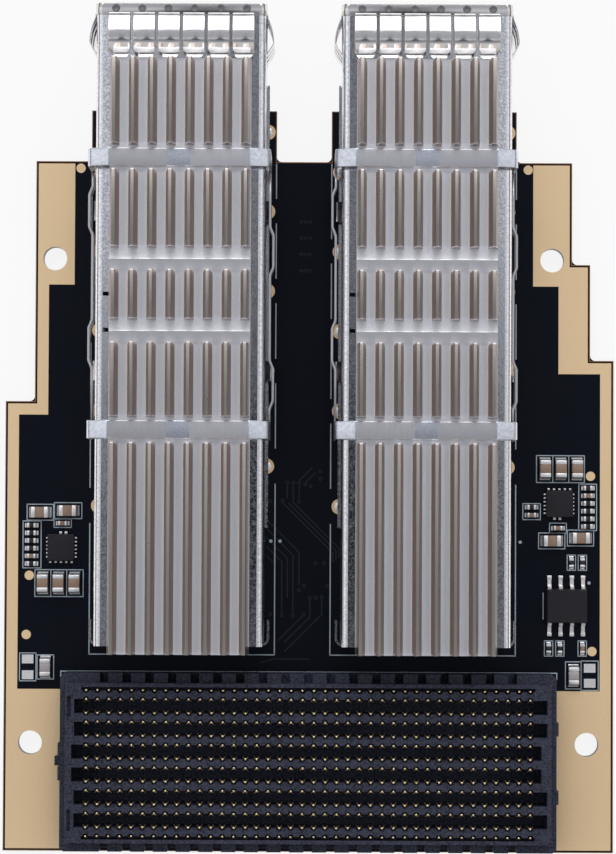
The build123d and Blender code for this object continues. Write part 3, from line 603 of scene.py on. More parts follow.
def sink_section():
    """Top edge of a heat sink's section from left to right: distance across, height above the floor,
    material of the run that follows each point, and one where the point lies in a channel. A fin has a
    flat top with eased edges, drafted flanks and a small fillet at its root. The material numbers count
    along the sink's materials: plain metal, then the painted shade of the right flank and of the top,
    the painted highlight of the left foot and the deeper painted shade of the left flank."""
    half_root, half_tip, left_toe, root_share = 0.53, 0.2, 0.05, 0.05
    side = np.array([(half_root + 0.08, 0.0), (half_root + 0.02, 0.006), (half_root - 0.02, 0.035),
                     (half_tip + 0.03, 0.94), (half_tip + 0.005, 0.985), (half_tip - 0.03, 1.0),
                     (half_tip - 0.05, 1.0)])
    offsets = np.r_[-side[:, 0], side[::-1, 0]]
    offsets[0] -= left_toe
    shares = np.r_[side[:, 1], side[::-1, 1]]
    # Material of each run of a fin: 3 the painted highlight of the left foot, 4 the painted shade of the
    # left flank, 2 the painted shade of the top, 1 the painted shade of the right flank, 0 plain metal.
    fin_painted_light = [3, 3, 4, 4, 2, 2, 2, 2, 2, 1, 1, 0, 0, 0]
    across, rise, finish = [-SINK_HALF], [-SIDE_DROP], [0]
    for x in spaced(0.0, FIN_COUNT, FIN_PITCH):
        across += list(x + offsets)
        rise += list(shares * FIN_HEIGHT)
        finish += fin_painted_light
    across, rise = np.array(across + [SINK_HALF]), np.array(rise + [-SIDE_DROP])
    across = np.clip(across, -SINK_HALF, SINK_HALF)
    channel = (rise < root_share * FIN_HEIGHT).astype(float)
    channel[[0, -1]] = 0.0
    return across, rise, finish + [0], channel


def sink_stations():
    """Stations along a heat sink: place, how much of the fins stands there, the way a channel's end
    bows inwards, and an extra height. Each fin's end is rounded off, the milled flats between the
    blocks lie a little above the channels, and one fine ridge left by the cutter crosses each."""
    rows = []
    ends = ((0.0, 0.0, 0.0), (0.025, 0.86, 0.6), (0.1, 0.975, 0.9), (0.24, 1.0, 1.0))
    ridge_half, ridge_height = 0.08, 0.028
    for index, (rear, front) in enumerate(reversed(FIN_BLOCKS)):
        for place, sign, order in ((rear, 1, ends), (front, -1, ends[::-1])):
            rows += [(place + sign * inward, share, sign * bow, MILLED_STEP * (1 - bow))
                     for inward, share, bow in order]
        if index + 1 < len(FIN_BLOCKS):
            middle = (front + FIN_BLOCKS[-2 - index][0]) / 2
            rows += [(middle + off, 0.0, 0.0, MILLED_STEP + height)
                     for off, height in ((-ridge_half, 0.0), (0.0, ridge_height), (ridge_half, 0.0))]
    return np.array(rows)


def heat_sink(centre):
    """Heat sink skinned over its stations: each point's height is its section height times the share
    of the fins that stands at that station, and the ring closes round the base's underside."""
    across, rise, finish, channel = sink_section()
    stations = sink_stations()
    count = len(across)
    fins_up = stations[:, 1:2]
    height = SINK_FLOOR + rise * fins_up + stations[:, 3:4]
    ends = np.array([0, count - 1])
    height[:, ends] = SINK_FLOOR - SIDE_DROP
    place = stations[:, :1] + stations[:, 2:3] * channel * CHANNEL_BOW
    top = np.stack([np.broadcast_to(across, height.shape), place, height], -1)
    under = np.zeros((len(stations), 2, 3))
    under[:, :, 1] = stations[:, :1]
    under[:, 0] += np.array([SINK_HALF, 0.0, SINK_UNDERSIDE])
    under[:, 1] += np.array([-SINK_HALF, 0.0, SINK_UNDERSIDE])
    points = np.concatenate([top, under], 1)
    ring = count + 2
    faces = lattice(len(stations), ring, wrap_columns=True)[:, ::-1]
    finish = np.r_[finish, 0, 0]
    least_rise, least_standing, least_step = 0.5, 0.9, 0.5
    fin_end = np.r_[rise > least_rise, False, False]
    low, high = fins_up[:-1], fins_up[1:]
    standing = np.minimum(low, high) > least_standing
    ending = np.abs(high - low) > least_step
    # Fin faces keep their run's painted shade or highlight. The rounded fin ends take the right flank's
    # painted shade, and all else is plain metal.
    index = np.where(standing, finish, np.where(ending & fin_end, 1, 0)).ravel().tolist()
    faces = [list(face) for face in faces]
    first = list(range(ring))
    last = [(len(stations) - 1) * ring + k for k in first]
    faces += [first[::-1], last]
    index += [0, 0]
    foot_half, foot_rear, foot_front = 7.1, 30.0, 60.0
    foot_low = CAGE_TOP - SHEET - 0.3
    foot = box_part(-foot_half, foot_half, foot_rear, foot_front, foot_low, SINK_UNDERSIDE)
    points, faces = join([(points.reshape(-1, 3), faces), foot])
    index += [0] * len(foot[1])
    return points + np.array([centre, 0.0, 0.0]), faces, index


def finger_sheet_grid(random):
    """Upper surface of one finger: it climbs by the running sum of a slope drawn through six points,
    then falls as a cosine to a tip just below the window. Returned as (across, back, up)."""
    crest_back, tip_back, dip = 2.75, 4.25, 0.16
    back = np.r_[-0.25, -0.12, 0, 0.16, 0.3, np.linspace(0.5, crest_back, 12),
                 np.linspace(crest_back + 0.1, tip_back, 9)]
    slope = np.interp(back, (0.0, 0.2, 0.3, 1.6, 1.75, crest_back), (0.08, 0.12, 0.44, 0.27, 0.17, 0.09))
    climb = np.r_[0, np.cumsum(np.diff(back) * (slope[1:] + slope[:-1]) / 2)]
    climb -= np.interp(0.0, back, climb)
    rise = np.interp(crest_back, back, climb)
    fall = np.clip((back - crest_back) / (tip_back - crest_back), 0, 1)
    up = np.where(back <= crest_back, climb, (rise + dip) * np.cos(np.pi / 2 * fall ** 0.85) - dip)
    up += FINGER_SHEET
    corner_size = 0.4
    corner = np.clip((back - tip_back + corner_size) / corner_size, 0, 1)
    half = FINGER_WIDTH / 2 - corner_size * corner
    across = np.array([-1.0, -0.94, 0.0, 0.94, 1.0])
    lean, edge_ease = random.normal(0.0, 0.01), 0.02
    x = half[:, None] * across[None, :]
    z = up[:, None] + lean * x * np.clip(back, 0, 1)[:, None]
    z -= edge_ease * (np.abs(across) == 1.0)[None, :]
    y = np.broadcast_to(-back[:, None], x.shape)
    return np.stack([x, y, z], -1).reshape(-1, 3), lattice(len(back), len(across))[:, ::-1]


def collar_grid():
    """Outer surface of the collar round a cage mouth: a rounded rectangle carried along its depth."""
    half, low, high = CAGE_HALF + FINGER_SHEET, TOP + FLOOR_GAP - FINGER_SHEET, CAGE_TOP + FINGER_SHEET
    ring = []
    low_radius, high_radius = 0.2, 0.9
    for corner_x, corner_z, radius, turn in ((half, low, low_radius, -90), (half, high, high_radius, 0),
                                             (-half, high, high_radius, 90), (-half, low, low_radius, 180)):
        angle = np.radians(np.linspace(turn, turn + 90, 9))
        centre_x = corner_x - math.copysign(radius, corner_x)
        centre_z = corner_z - radius if corner_z == high else corner_z + radius
        ring.append(np.c_[centre_x + radius * np.cos(angle), centre_z + radius * np.sin(angle)])
    ring = np.vstack(ring)
    depth = np.array([WINDOW_FRONT, WINDOW_FRONT + 0.03, CAGE_FRONT - 0.03, CAGE_FRONT])
    draw_in = np.array([0.02, 0.0, 0.0, 0.02])
    rows = []
    centre = np.array([0.0, (low + high) / 2])
    for y, pull in zip(depth, draw_in):
        scaled = centre + (ring - centre) * (1 - pull / half)
        rows.append(np.c_[scaled[:, 0], np.full(len(ring), y), scaled[:, 1]])
    return np.vstack(rows), lattice(len(depth), len(ring), wrap_columns=True)


def turned(points, degrees):
    """Turn points about the Y axis; at zero their height axis points up."""
    angle = math.radians(degrees)
    x = points[:, 0] * math.cos(angle) + points[:, 2] * math.sin(angle)
    z = -points[:, 0] * math.sin(angle) + points[:, 2] * math.cos(angle)
    return np.c_[x, points[:, 1], z]


def spring_fingers(name, centre):
    """Collar and bowed fingers on all four sides of one cage mouth, given a wall by Solidify."""
    random = np.random.default_rng(11 if centre < 0 else 12)
    middle_z = (TOP + FLOOR_GAP + SHEET + CAGE_TOP - SHEET) / 2
    parts = [collar_grid()]
    for offset in spaced(0.0, 6, FINGER_PITCH):
        for degrees, surface in ((0, CAGE_TOP), (180, TOP + FLOOR_GAP)):
            points, faces = finger_sheet_grid(random)
            moved = turned(points, degrees) + np.array([offset, WINDOW_FRONT, surface])
            parts.append((moved, faces))
    for offset in spaced(middle_z, 3, FINGER_PITCH):
        for degrees, surface in ((90, CAGE_HALF), (-90, -CAGE_HALF)):
            points, faces = finger_sheet_grid(random)
            parts.append((turned(points, degrees) + np.array([surface, WINDOW_FRONT, offset]), faces))
    points, faces = join(parts)
    piece = add_piece(name, points + np.array([centre, 0, 0]), faces, [FINGER], "finger_sheet", sharp=50.0)
    wall = piece.modifiers.new("wall", "SOLIDIFY")
    wall.thickness = FINGER_SHEET * MM * 0.9
    wall.offset = -1.0
    return piece


def weld_spot(x, y):
    """Round spot weld on a cage's front strip: a pressed dimple inside a low raised lip. Each ring is
    a radius and a height."""
    count, z0 = 20, CAGE_TOP + FINGER_SHEET
    angle = np.linspace(0, 2 * math.pi, count, endpoint=False)
    rings = [(0.46, 0.0), (0.38, 0.035), (0.3, 0.03), (0.22, 0.008), (0.08, 0.004)]
    points = [np.c_[x + r * np.cos(angle), y + r * np.sin(angle), np.full(count, z0 + h)] for r, h in rings]
    faces = lattice(len(rings), count, wrap_columns=True)
    last = [(len(rings) - 1) * count + k for k in range(count)]
    return np.vstack(points), [list(face) for face in faces] + [last]


def rounded_path(points, radii, steps=7):
    """Path through plan points, with an arc of its radius in place of each inner corner."""
    points = np.asarray(points, float)
    path = [points[:1]]
    share = np.linspace(0, 1, steps)[:, None]
    for before, corner, after, radius in zip(points[:-2], points[1:-1], points[2:], radii):
        come, go = before - corner, after - corner
        come, go = come / np.linalg.norm(come), go / np.linalg.norm(go)
        half = math.acos(np.clip(come @ go, -1, 1)) / 2
        middle = (come + go) / np.linalg.norm(come + go)
        centre = corner + middle * radius / math.sin(half)
        first = corner + come * radius / math.tan(half) - centre
        last = corner + go * radius / math.tan(half) - centre
        turn = math.pi - 2 * half
        arc = (np.sin((1 - share) * turn) * first + np.sin(share * turn) * last) / math.sin(turn)
        path.append(centre + arc)
    path.append(points[-1:])
    return np.vstack(path)


def clip_strap(y):
    """Outer face of one strap: a rounded path in x and z carried across the strap's width, with the
    two long edges eased down a little."""
    outer, top = CLIP_OUT, CLIP_TOP
    shoulder_drop, shoulder_x, pad_x = 0.9, 7.8, 1.27
    half = [(-outer, CLIP_FOOT), (-outer, top - shoulder_drop), (-shoulder_x, top),
            (-pad_x, SINK_FLOOR + CLIP_SHEET)]
    path = rounded_path(half + [(-x, z) for x, z in reversed(half)], (0.8, 0.4, 0.5, 0.5, 0.4, 0.8))
    run = np.gradient(path, axis=0)
    normal = np.c_[-run[:, 1], run[:, 0]] / np.linalg.norm(run, axis=1, keepdims=True)
    across = np.array([-1.0, -0.97, -0.9, 0.9, 0.97, 1.0])
    ease = np.array([0.05, 0.012, 0.0, 0.0, 0.012, 0.05])
    rows = path[:, None, :] - normal[:, None, :] * ease[None, :, None]
    points = np.stack([rows[:, :, 0], np.broadcast_to(y + across, rows.shape[:2]), rows[:, :, 1]], -1)
    return points.reshape(-1, 3), lattice(len(path), len(across))


def clip_rail(side, bump_offset, front, rear):
    """Outer face of one side rail: its plan path with two bumps, carried up from its lower to its
    upper edge, less the windows that snap over the cage's catches."""
    level, bump, flat, ramp = CLIP_OUT, CLIP_OUT + 0.38, 1.85, 0.9
    bump_pitch, window_half, window_gaps = 15.0, 1.3, (5.2, 23.2)
    plan = [(front, level)]
    for middle in (front - bump_offset, front - bump_offset - bump_pitch):
        plan += [(middle + flat + ramp, level), (middle + flat, bump), (middle - flat, bump),
                 (middle - flat - ramp, level)]
    plan = rounded_path(plan + [(rear, level)], [0.8] * 8)[::-1]
    windows = [(front - gap - window_half, front - gap + window_half) for gap in window_gaps]
    y = np.unique(np.r_[np.clip(plan[:, 0], rear + 1, front - 1), np.ravel(windows)])
    x = np.interp(y, plan[:, 0], plan[:, 1])
    z = CLIP_FOOT + np.array([0.0, 0.5, 1.7, 2.2])
    points = np.stack([np.repeat(side * x[:, None], 4, 1), np.repeat(y[:, None], 4, 1),
                       np.broadcast_to(z, (len(y), 4))], -1)
    middle = np.repeat((y[:-1] + y[1:]) / 2, 3)
    column = np.tile(np.arange(3), len(y) - 1)
    open_window = np.any([(middle > low) & (middle < high) for low, high in windows], axis=0) & (column == 1)
    faces = lattice(len(y), 4)[~open_window]
    return points.reshape(-1, 3), faces if side > 0 else faces[:, ::-1]


def retaining_clip(name, centre):
    """One stamping: two straps over the heat sink joined by two rails, given a wall by Solidify. Its
    pads and shoulders are painted brighter and bluer, a painted highlight."""
    gap, lean, left_bump, right_bump = 1.37, 0.1, 5.3, 9.8
    pad_half, shoulder_from, shoulder_low = 1.3, 7.7, 12.3
    front, rear = FIN_BLOCKS[0][0] - gap, FIN_BLOCKS[3][0] - gap
    points, faces = join([clip_strap(front), clip_strap(rear), clip_rail(-1, left_bump, front, rear),
                          clip_rail(1, right_bump, front, rear)])
    piece = add_piece(name, points + np.array([centre - lean, 0, 0]), faces, [CLIP, CLIP_PAINTED_HIGHLIGHT], "clip_steel",
                      sharp=60.0)
    corners = points[faces]
    across, low = np.abs(corners[:, :, 0]), corners[:, :, 2].min(axis=1)
    # Pads and shoulders take the clip's painted highlight.
    pads = (across.max(axis=1) < pad_half) | ((across.min(axis=1) > shoulder_from) & (low > shoulder_low))
    piece.data.polygons.foreach_set("material_index", pads.astype(int).tolist())
    wall = piece.modifiers.new("wall", "SOLIDIFY")
    wall.thickness = CLIP_SHEET * MM * 0.97
    wall.offset = -1.0
    return piece


def make_cages():
    """Heat sink, mouth fingers, clip and weld spots of each cage."""
    for side in SIDES:
        centre = CAGE_X[side]
        points, faces, index = heat_sink(centre)
        # Plain sink metal, then painted shade for right flanks and fin ends, painted shade for tops, a
        # painted highlight for left feet and a deeper painted shade for left flanks.
        finishes = [SINK, SINK_FLANK_PAINTED_SHADE, SINK_TOP_PAINTED_SHADE, SINK_FOOT_PAINTED_HIGHLIGHT, SINK_LEFT_FLANK_PAINTED_SHADE]
        add_piece(side + "_finned_sink", points, faces, finishes, "sink_metal", index=index, sharp=25.0,
                  replaces=(side + "_heat_sink",))
        piece = spring_fingers(side + "_mouth_fingers", centre)
        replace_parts(piece, side + "_spring_fingers")
        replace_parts(retaining_clip(side + "_sprung_clip", centre), side + "_retaining_clip")
        welds = join([weld_spot(centre + x, CAGE_FRONT - 0.55) for x in spaced(0.0, 6, 2.9)])
        add_piece(side + "_weld_spots", *welds, [WELD], "cage_sheet", sharp=60.0)


# The board's top


def make_board_details():
    """Plating, ink, solder and tracks that lie on the mask, in thin layers just above the board."""
    targets = ((-26.13, 65.2), (24.76, 65.2), (-31.7, 18.9), (-32.0, 12.2), (31.9, 30.4), (32.1, 10.55))
    target_radius = 0.53
    spots = join([disc(x, y, target_radius, SPOT_Z) for x, y in targets])
    add_piece("round_gold_targets", *spots, [GOLD], "gold_plating")
    pin_x, pin_radius, land_radius = 9.5, 0.5, 0.88
    pins = []
    for side in SIDES:
        for sign, front in ((1, 69.4), (-1, 64.85)):
            for gap in (0.0, 9.06, 18.12, 27.18, 38.03):
                pins.append((CAGE_X[side] + sign * pin_x, front - gap))
    lands = join([disc(x, y, land_radius, LAND_Z, inner=pin_radius) for x, y in pins])
    add_piece("pin_lands", *lands, [GOLD], "gold_plating")
    fills = [pillow((x, y, TOP - 0.05), (0.98, 0.98, 0.3), 0.49) for x, y in pins]
    add_piece("pin_solder", *join(fills), [TIN], "tinned_metal", sharp=60.0)
    add_piece("legend_lines", *join(legend_parts()), [INK], "tinned_metal")
    add_piece("laid_tracks", *join(track_parts()), [TRACE], "board")
    add_piece("board_rim", *join([rim_part()]), [LAMINATE], "board")


def outline_box(x0, x1, y0, y1, width, z):
    """Closed rectangular line drawn as four strips."""
    half = width / 2
    bars = [((x0 - half, y0), (x1 + half, y0)), ((x0 - half, y1), (x1 + half, y1)),
            ((x0, y0), (x0, y1)), ((x1, y0), (x1, y1))]
    return [strip(bar, width, z) for bar in bars]


def legend_parts():
    """Ink lines round the cages, the connector and the chips, and a few round marks. Each box is a
    middle, a width and a height."""
    parts, z = [], INK_Z
    tongue, rear, front = 10.5, 10.0, 65.8
    left_shift = -4.55
    breaks = ((66.2, 61.8), (59.0, 52.7), (49.9, 43.6), (40.8, 33.4), (29.4, rear))
    for side in SIDES:
        centre = CAGE_X[side]
        for sign in (-1, 1):
            x = centre + sign * tongue
            shift = 0.0 if sign > 0 else left_shift
            for top, low in breaks:
                upper = min(top + shift * (top < 66), front)
                parts.append(strip([(x, upper), (x, max(low + shift, rear))], INK_LINE, z))
        reach = tongue + INK_LINE / 2
        parts.append(strip([(centre - reach, rear + 0.01), (centre + reach, rear + 0.01)], INK_LINE, z))
    parts.append(strip([(-28.05, 7.3), (-28.05, 8.07), (28.12, 8.07), (28.12, 7.3)], INK_LINE, z))
    for x, y in ((-4.33, 22.89), (-3.29, 22.89), (23.95, 22.89)):
        parts.append(disc(x, y, INK_DOT, z, 16))
    boxes = ((-28.32, 18.02, 5.48, 3.04), (28.49, 31.19, 5.44, 3.06), (-29.8, 8.53, 1.87, 2.72),
             (30.0, 7.84, 1.8, 3.06), (28.22, 24.5, 1.91, 1.14), (-31.41, 22.39, 2.05, 5.32),
             (31.59, 26.87, 2.02, 5.27), (25.23, 26.36, 1.99, 1.82), (-31.8, 8.53, 1.86, 3.15),
             (31.84, 7.81, 1.96, 3.32), (-30.5, 26.05, 2.98, 1.8), (-27.34, 26.24, 3.1, 1.8),
             (-27.95, 24.81, 1.95, 0.95), (27.52, 23.05, 2.98, 1.8), (30.78, 23.39, 2.98, 1.8),
             (29.75, 20.59, 0.95, 1.72), (31.0, 20.59, 0.95, 1.72), (27.19, 10.87, 0.95, 1.72),
             (28.46, 10.87, 0.95, 1.72), (31.0, 10.88, 0.95, 1.72))
    parts.append(strip([(26.56, 17.2), (26.56, 14.15)], THIN_INK_LINE, z))
    parts.append(disc(31.75, 18.3, INK_DOT, z, 16))
    dividers = ((-29.25, 18.02), (-27.45, 18.02), (27.63, 31.19), (29.44, 31.19))
    box_half = 1.52
    parts += [strip([(x, y - box_half), (x, y + box_half)], THIN_INK_LINE, z) for x, y in dividers]
    for x, y, wide, high in boxes:
        parts += outline_box(x - wide / 2, x + wide / 2, y - high / 2, y + high / 2, THIN_INK_LINE, z)
    return parts


def track_parts():
    """Copper tracks and vias under the mask, in a fan between the cages and the connector, and a
    block of vias between the cages."""
    parts, z = [], TRACK_Z
    tracks = (((-4.86, 25.38), (-1.13, 21.65), (-1.13, 17.91)),
              ((-4.86, 24.36), (-1.81, 21.31), (-1.81, 14.68)),
              ((-4.86, 23.34), (-2.44, 20.92), (-2.44, 16.44)),
              ((-4.86, 22.32), (-3.07, 20.54), (-3.07, 14.81)), ((-4.86, 21.31), (-3.84, 20.29)),
              ((-2.49, 29.22), (-2.49, 27.71)),
              ((-1.81, 29.22), (-1.81, 27.3), (3.4, 22.1), (3.4, 20.97)),
              ((-1.13, 29.22), (-1.13, 27.71)), ((-2.37, 27.26), (3.06, 21.83), (3.06, 20.74)),
              ((-3.01, 27.26), (2.72, 21.53), (2.72, 20.51)), ((-1.13, 29.79), (0.34, 31.26)),
              ((-0.38, 29.56), (0.75, 30.7)), ((0.12, 16.22), (0.12, 14.29), (-2.78, 11.4)),
              ((1.47, 16.33), (1.47, 14.59), (-2.78, 10.33)), ((-0.68, 14.45), (-3.5, 11.62)),
              ((-5.54, 9.09), (-4.07, 9.54), (0.12, 9.54)))
    vias = ((-2.49, 29.52), (-1.81, 29.52), (-1.13, 29.52), (-0.45, 29.34), (0.16, 29.16), (1.25, 30.81),
            (-3.01, 27.48), (-1.13, 27.41), (-4.41, 27.41), (-0.56, 17.8), (-1.13, 17.35), (0.75, 20.4),
            (1.7, 20.4), (2.08, 17.84), (0.12, 16.44), (0.79, 16.49), (1.47, 16.56), (-4.36, 14.59),
            (-3.07, 14.52), (-1.81, 14.41), (-0.56, 14.59), (1.25, 29.97))
    parts += [strip(track, 0.15, z) for track in tracks]
    parts += [disc(x, y, 0.22, z, 14, inner=0.1) for x, y in vias]
    for y in spaced(56.41, 4, 1.86)[::-1]:
        for x in spaced(-0.55, 3, 0.5):
            parts.append(disc(x, y, 0.2, z, 12, inner=0.09))
    return parts


def rim_part():
    """Thin ring of bare laminate along the board's top edge, between its outline and the same drawn
    in by a margin. The corners run anticlockwise from the rear right."""
    margin = 0.1
    left = [(-34.5, -12.2), (-34.5, 38.65), (-31.2, 38.65), (-31.2, 66.0)]
    right = [(29.76, 66.0), (29.76, 54.4), (31.83, 54.4), (31.83, 43.5), (34.5, 43.5), (34.5, -12.2)]
    middle = []
    for side in SIDES:
        x0, x1 = CAGE_X[side] - 10.52, CAGE_X[side] + 10.52
        middle += [(x0, 66.0), (x0, 71.8), (x1, 71.8), (x1, 66.0)]
    points = np.array(left + middle + right)[::-1]
    run = np.sign(np.roll(points, -1, 0) - points)
    inward = np.c_[-run[:, 1], run[:, 0]]
    inner = points + margin * (inward + np.roll(inward, 1, 0))
    rows = np.vstack([inner, points])
    return np.c_[rows, np.full(len(rows), RIM_Z)], lattice(2, len(points), wrap_columns=True)


# Chip parts


def solder_wedge(place, length, width, height):
    """Concave fillet of solder at one end of a chip: a curve from the end face down to the pad."""
    x, y, turn, sign = place
    reach, climb, curve, seam = 0.26, 0.62, 2.2, 0.03
    share = np.linspace(0, 1, 5)
    rise = height * climb * (1 - share) ** curve + seam
    profile = np.vstack([np.c_[reach * share, rise], [[reach, 0.0], [0.0, 0.0]]])
    count = len(profile)
    near = np.c_[sign * (length / 2 + profile[:, 0]), np.full(count, -width / 2), profile[:, 1]]
    faces = [[k, (k + 1) % count, count + (k + 1) % count, count + k] for k in range(count)]
    faces += [list(range(count))[::-1], list(range(count, 2 * count))]
    if sign > 0:
        faces = [face[::-1] for face in faces]
    points = np.vstack([near, near * np.array([1, -1, 1])])
    turn_plan(points, turn)
    return points + np.array([x, y, TOP]), faces


def chip_set(name, places, size, colour, body_slot, edge):
    """Chip parts of one size: rounded bodies, rounded metal ends and solder fillets."""
    length, width, height = size
    body_share, cap_share, cap_reach, cap_growth = 0.5, 0.27, 0.365, 0.05
    bodies, ends = [], []
    for x, y, turn in places:
        cosine, sine = math.cos(math.radians(turn)), math.sin(math.radians(turn))
        body = (length * body_share, width, height)
        bodies.append(pillow((x, y, TOP + 0.04 + height / 2), body, edge, turn=turn))
        cap = (length * cap_share, width + cap_growth, height + cap_growth)
        for sign in (-1, 1):
            reach = length * cap_reach * sign
            centre = (x + reach * cosine, y + reach * sine, TOP + 0.03 + height / 2)
            ends.append(pillow(centre, cap, edge * 1.6, turn=turn))
            ends.append(solder_wedge((x, y, turn, sign), length, width * 0.96, height))
    add_piece(name + "_blocks", *join(bodies), [colour], body_slot, sharp=60.0, replaces=(name + "_bodies",))
    add_piece(name + "_caps", *join(ends), [TIN], "tinned_metal", sharp=60.0, replaces=(name + "_ends",))


def make_chips():
    """All chip parts beside the connector."""
    large = [(-30.5, 26.05, 0), (-27.34, 26.24, 0), (27.52, 23.05, 0), (30.78, 23.39, 0)]
    large += [(x, 18.04, 90) for x in (-30.14, -28.35, -26.55)]
    large += [(x, 31.22, 90) for x in (26.74, 28.52, 30.36)]
    chip_set("large_capacitor", large, (2.0, 1.25, 1.25), BROWN_CERAMIC, "brown_ceramic", 0.09)
    chip_set("grey_capacitor", [(-29.8, 8.53, 90), (30.0, 7.84, 90)], (2.0, 1.2, 1.0), GREY_CERAMIC,
             "grey_ceramic", 0.09)
    bank_count, bank_pitch = 6, 0.87
    left_bank = [(-31.46, 24.57 - bank_pitch * row, 0) for row in range(bank_count)]
    right_bank = [(31.62, 29.05 - bank_pitch * row, 0) for row in range(bank_count)]
    small = [(-27.95, 24.81, 0), (28.22, 24.5, 0), (25.22, 25.96, 0), (31.0, 10.88, 90)]
    small += [left_bank.pop(4), right_bank.pop(1)]
    chip_set("small_capacitor", small, (1.0, 0.5, 0.45), BROWN_CERAMIC, "brown_ceramic", 0.05)
    resistors = [(25.22, 26.86, 0)] + [(x, 20.59, 90) for x in (29.75, 31.0)]
    resistors += [(x, 10.87, 90) for x in (27.19, 28.46)] + left_bank + right_bank
    chip_set("resistor", resistors, (1.0, 0.5, 0.35), GLAZE, "resistor_glaze", 0.03)
    driver_x, driver_y, toe_reach, lead_pitch = 29.16, 15.7, 3.22, 1.27
    toes = [pillow((x, driver_y + sign * toe_reach, TOP + 0.16), (0.6, 0.52, 0.3), 0.14)
            for x in spaced(driver_x, 4, lead_pitch) for sign in (-1, 1)]
    add_piece("driver_solder", *join(toes), [TIN], "tinned_metal", sharp=60.0)
    make_regulators()


def make_regulators():
    """The two leadless chips, each with a dot at pin one and beads of solder on its four sides."""
    width, height, mark = 3.0, 0.8, 1.1
    bead_z, bead_height = TOP + 0.14, 0.28
    near, far = 1.6, 1.65
    bodies, beads = [], []

    def bead(x, y, wide, deep, edge):
        """Add one bead of solder."""
        beads.append(pillow((x, y, bead_z), (wide, deep, bead_height), edge))

    for x, y, end in ((-28.1, 22.07, -1), (28.37, 27.25, 1)):
        bodies.append(pillow((x, y, TOP + 0.04 + height / 2), (width, width, height), 0.06))
        bodies.append(disc(x - mark, y + mark, 0.14, TOP + height + 0.043, 16))
        for v in spaced(0.0, 6, 0.43):
            bead(x - end * far, y + v, 0.36, 0.25, 0.12)
            bead(x + end * near, y + v, 0.24, 0.25, 0.11)
        for u in spaced(0.0, 5, 0.61):
            bead(x + u, y + end * far, 0.34, 0.3, 0.13)
        for u in spaced(-end * 0.25, 2, 0.61):
            bead(x + u, y - end * far, 0.4, 0.4, 0.13)
    for name, parts, material, slot, node in (("blocks", bodies, EPOXY, "chip_epoxy", "bodies"),
                                              ("solder", beads, TIN, "tinned_metal", "terminals")):
        add_piece("regulator_" + name, *join(parts), [material], slot, sharp=60.0,
                  replaces=("regulator_" + node,))


# Finishes of the solids that stay as they are


def finish_solids():
    """Give each solid that still shows its own finish."""
    finishes = {"circuit_board": BOARD, "exposed_plating": GOLD, "driver_body": EPOXY, "driver_leads": TIN,
                "solder_pads": TIN}
    for side in SIDES:
        finishes[side + "_cage_shell"] = CAGE
        finishes[side + "_cage_floor"] = CAGE
        finishes[side + "_receptacle_housing"] = BLACK_PLASTIC
        finishes[side + "_receptacle_contacts"] = CONTACT_GOLD
    for node, material in finishes.items():
        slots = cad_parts[node].data.materials
        slots.clear()
        slots.append(material)


# Stage, light and camera


def make_floor():
    """Pale floor, seen nearly white, that still takes the card's shadow."""
    material = bpy.data.materials.new("pale_floor")
    material.use_nodes = True
    tree = material.node_tree
    shader = tree.nodes["Principled BSDF"]
    shader.inputs["Base Color"].default_value = rgb(0.9, 0.9, 0.9)
    shader.inputs["Roughness"].default_value = 0.9
    glow = add_node(tree, "Emission", (("Strength", 1.0),))
    path = add_node(tree, "LightPath").outputs
    seen = maths(tree, "MAXIMUM", path["Is Camera Ray"], path["Is Glossy Ray"])
    mix = add_node(tree, "MixShader", ((0, maths(tree, "MULTIPLY", seen, 0.88)), (1, shader.outputs["BSDF"]),
                                       (2, glow.outputs["Emission"])))
    tree.links.new(mix.outputs["Shader"], tree.nodes["Material Output"].inputs["Surface"])
    reach, depth = 3.0, -0.00005
    corners = [(x * reach, y * reach, depth) for x, y in ((-1, -1), (1, -1), (1, 1), (-1, 1))]
    mesh = bpy.data.meshes.new("floor")
    mesh.from_pydata(corners, [], [(0, 1, 2, 3)])
    mesh.materials.append(material)
    floor = bpy.data.objects.new("floor", mesh)
    bpy.context.scene.collection.objects.link(floor)


def area_light(name, place, aim, size, power):
    """Soft rectangular lamp at a place in metres, facing a point."""
    lamp = bpy.data.lights.new(name, "AREA")
    lamp.shape = "RECTANGLE"
    lamp.size, lamp.size_y = size
    lamp.energy = power
    light = bpy.data.objects.new(name, lamp)
    bpy.context.scene.collection.objects.link(light)
    turn = (Vector(aim) - Vector(place)).to_track_quat("-Z", "Y")
    light.matrix_world = Matrix.Translation(place) @ turn.to_matrix().to_4x4()


# Sky colours over the sine of the angle from straight up
WORLD_RINGS = ((0.03, (0.10, 0.10, 0.115)), (0.07, (0.88, 0.9, 0.96)), (0.18, (0.78, 0.8, 0.86)),
               (0.34, (0.46, 0.47, 0.51)), (0.52, (0.42, 0.43, 0.47)), (0.64, (1.05, 1.05, 1.07)),
               (0.88, (1.0, 0.98, 0.97)), (0.96, (0.55, 0.49, 0.47)))


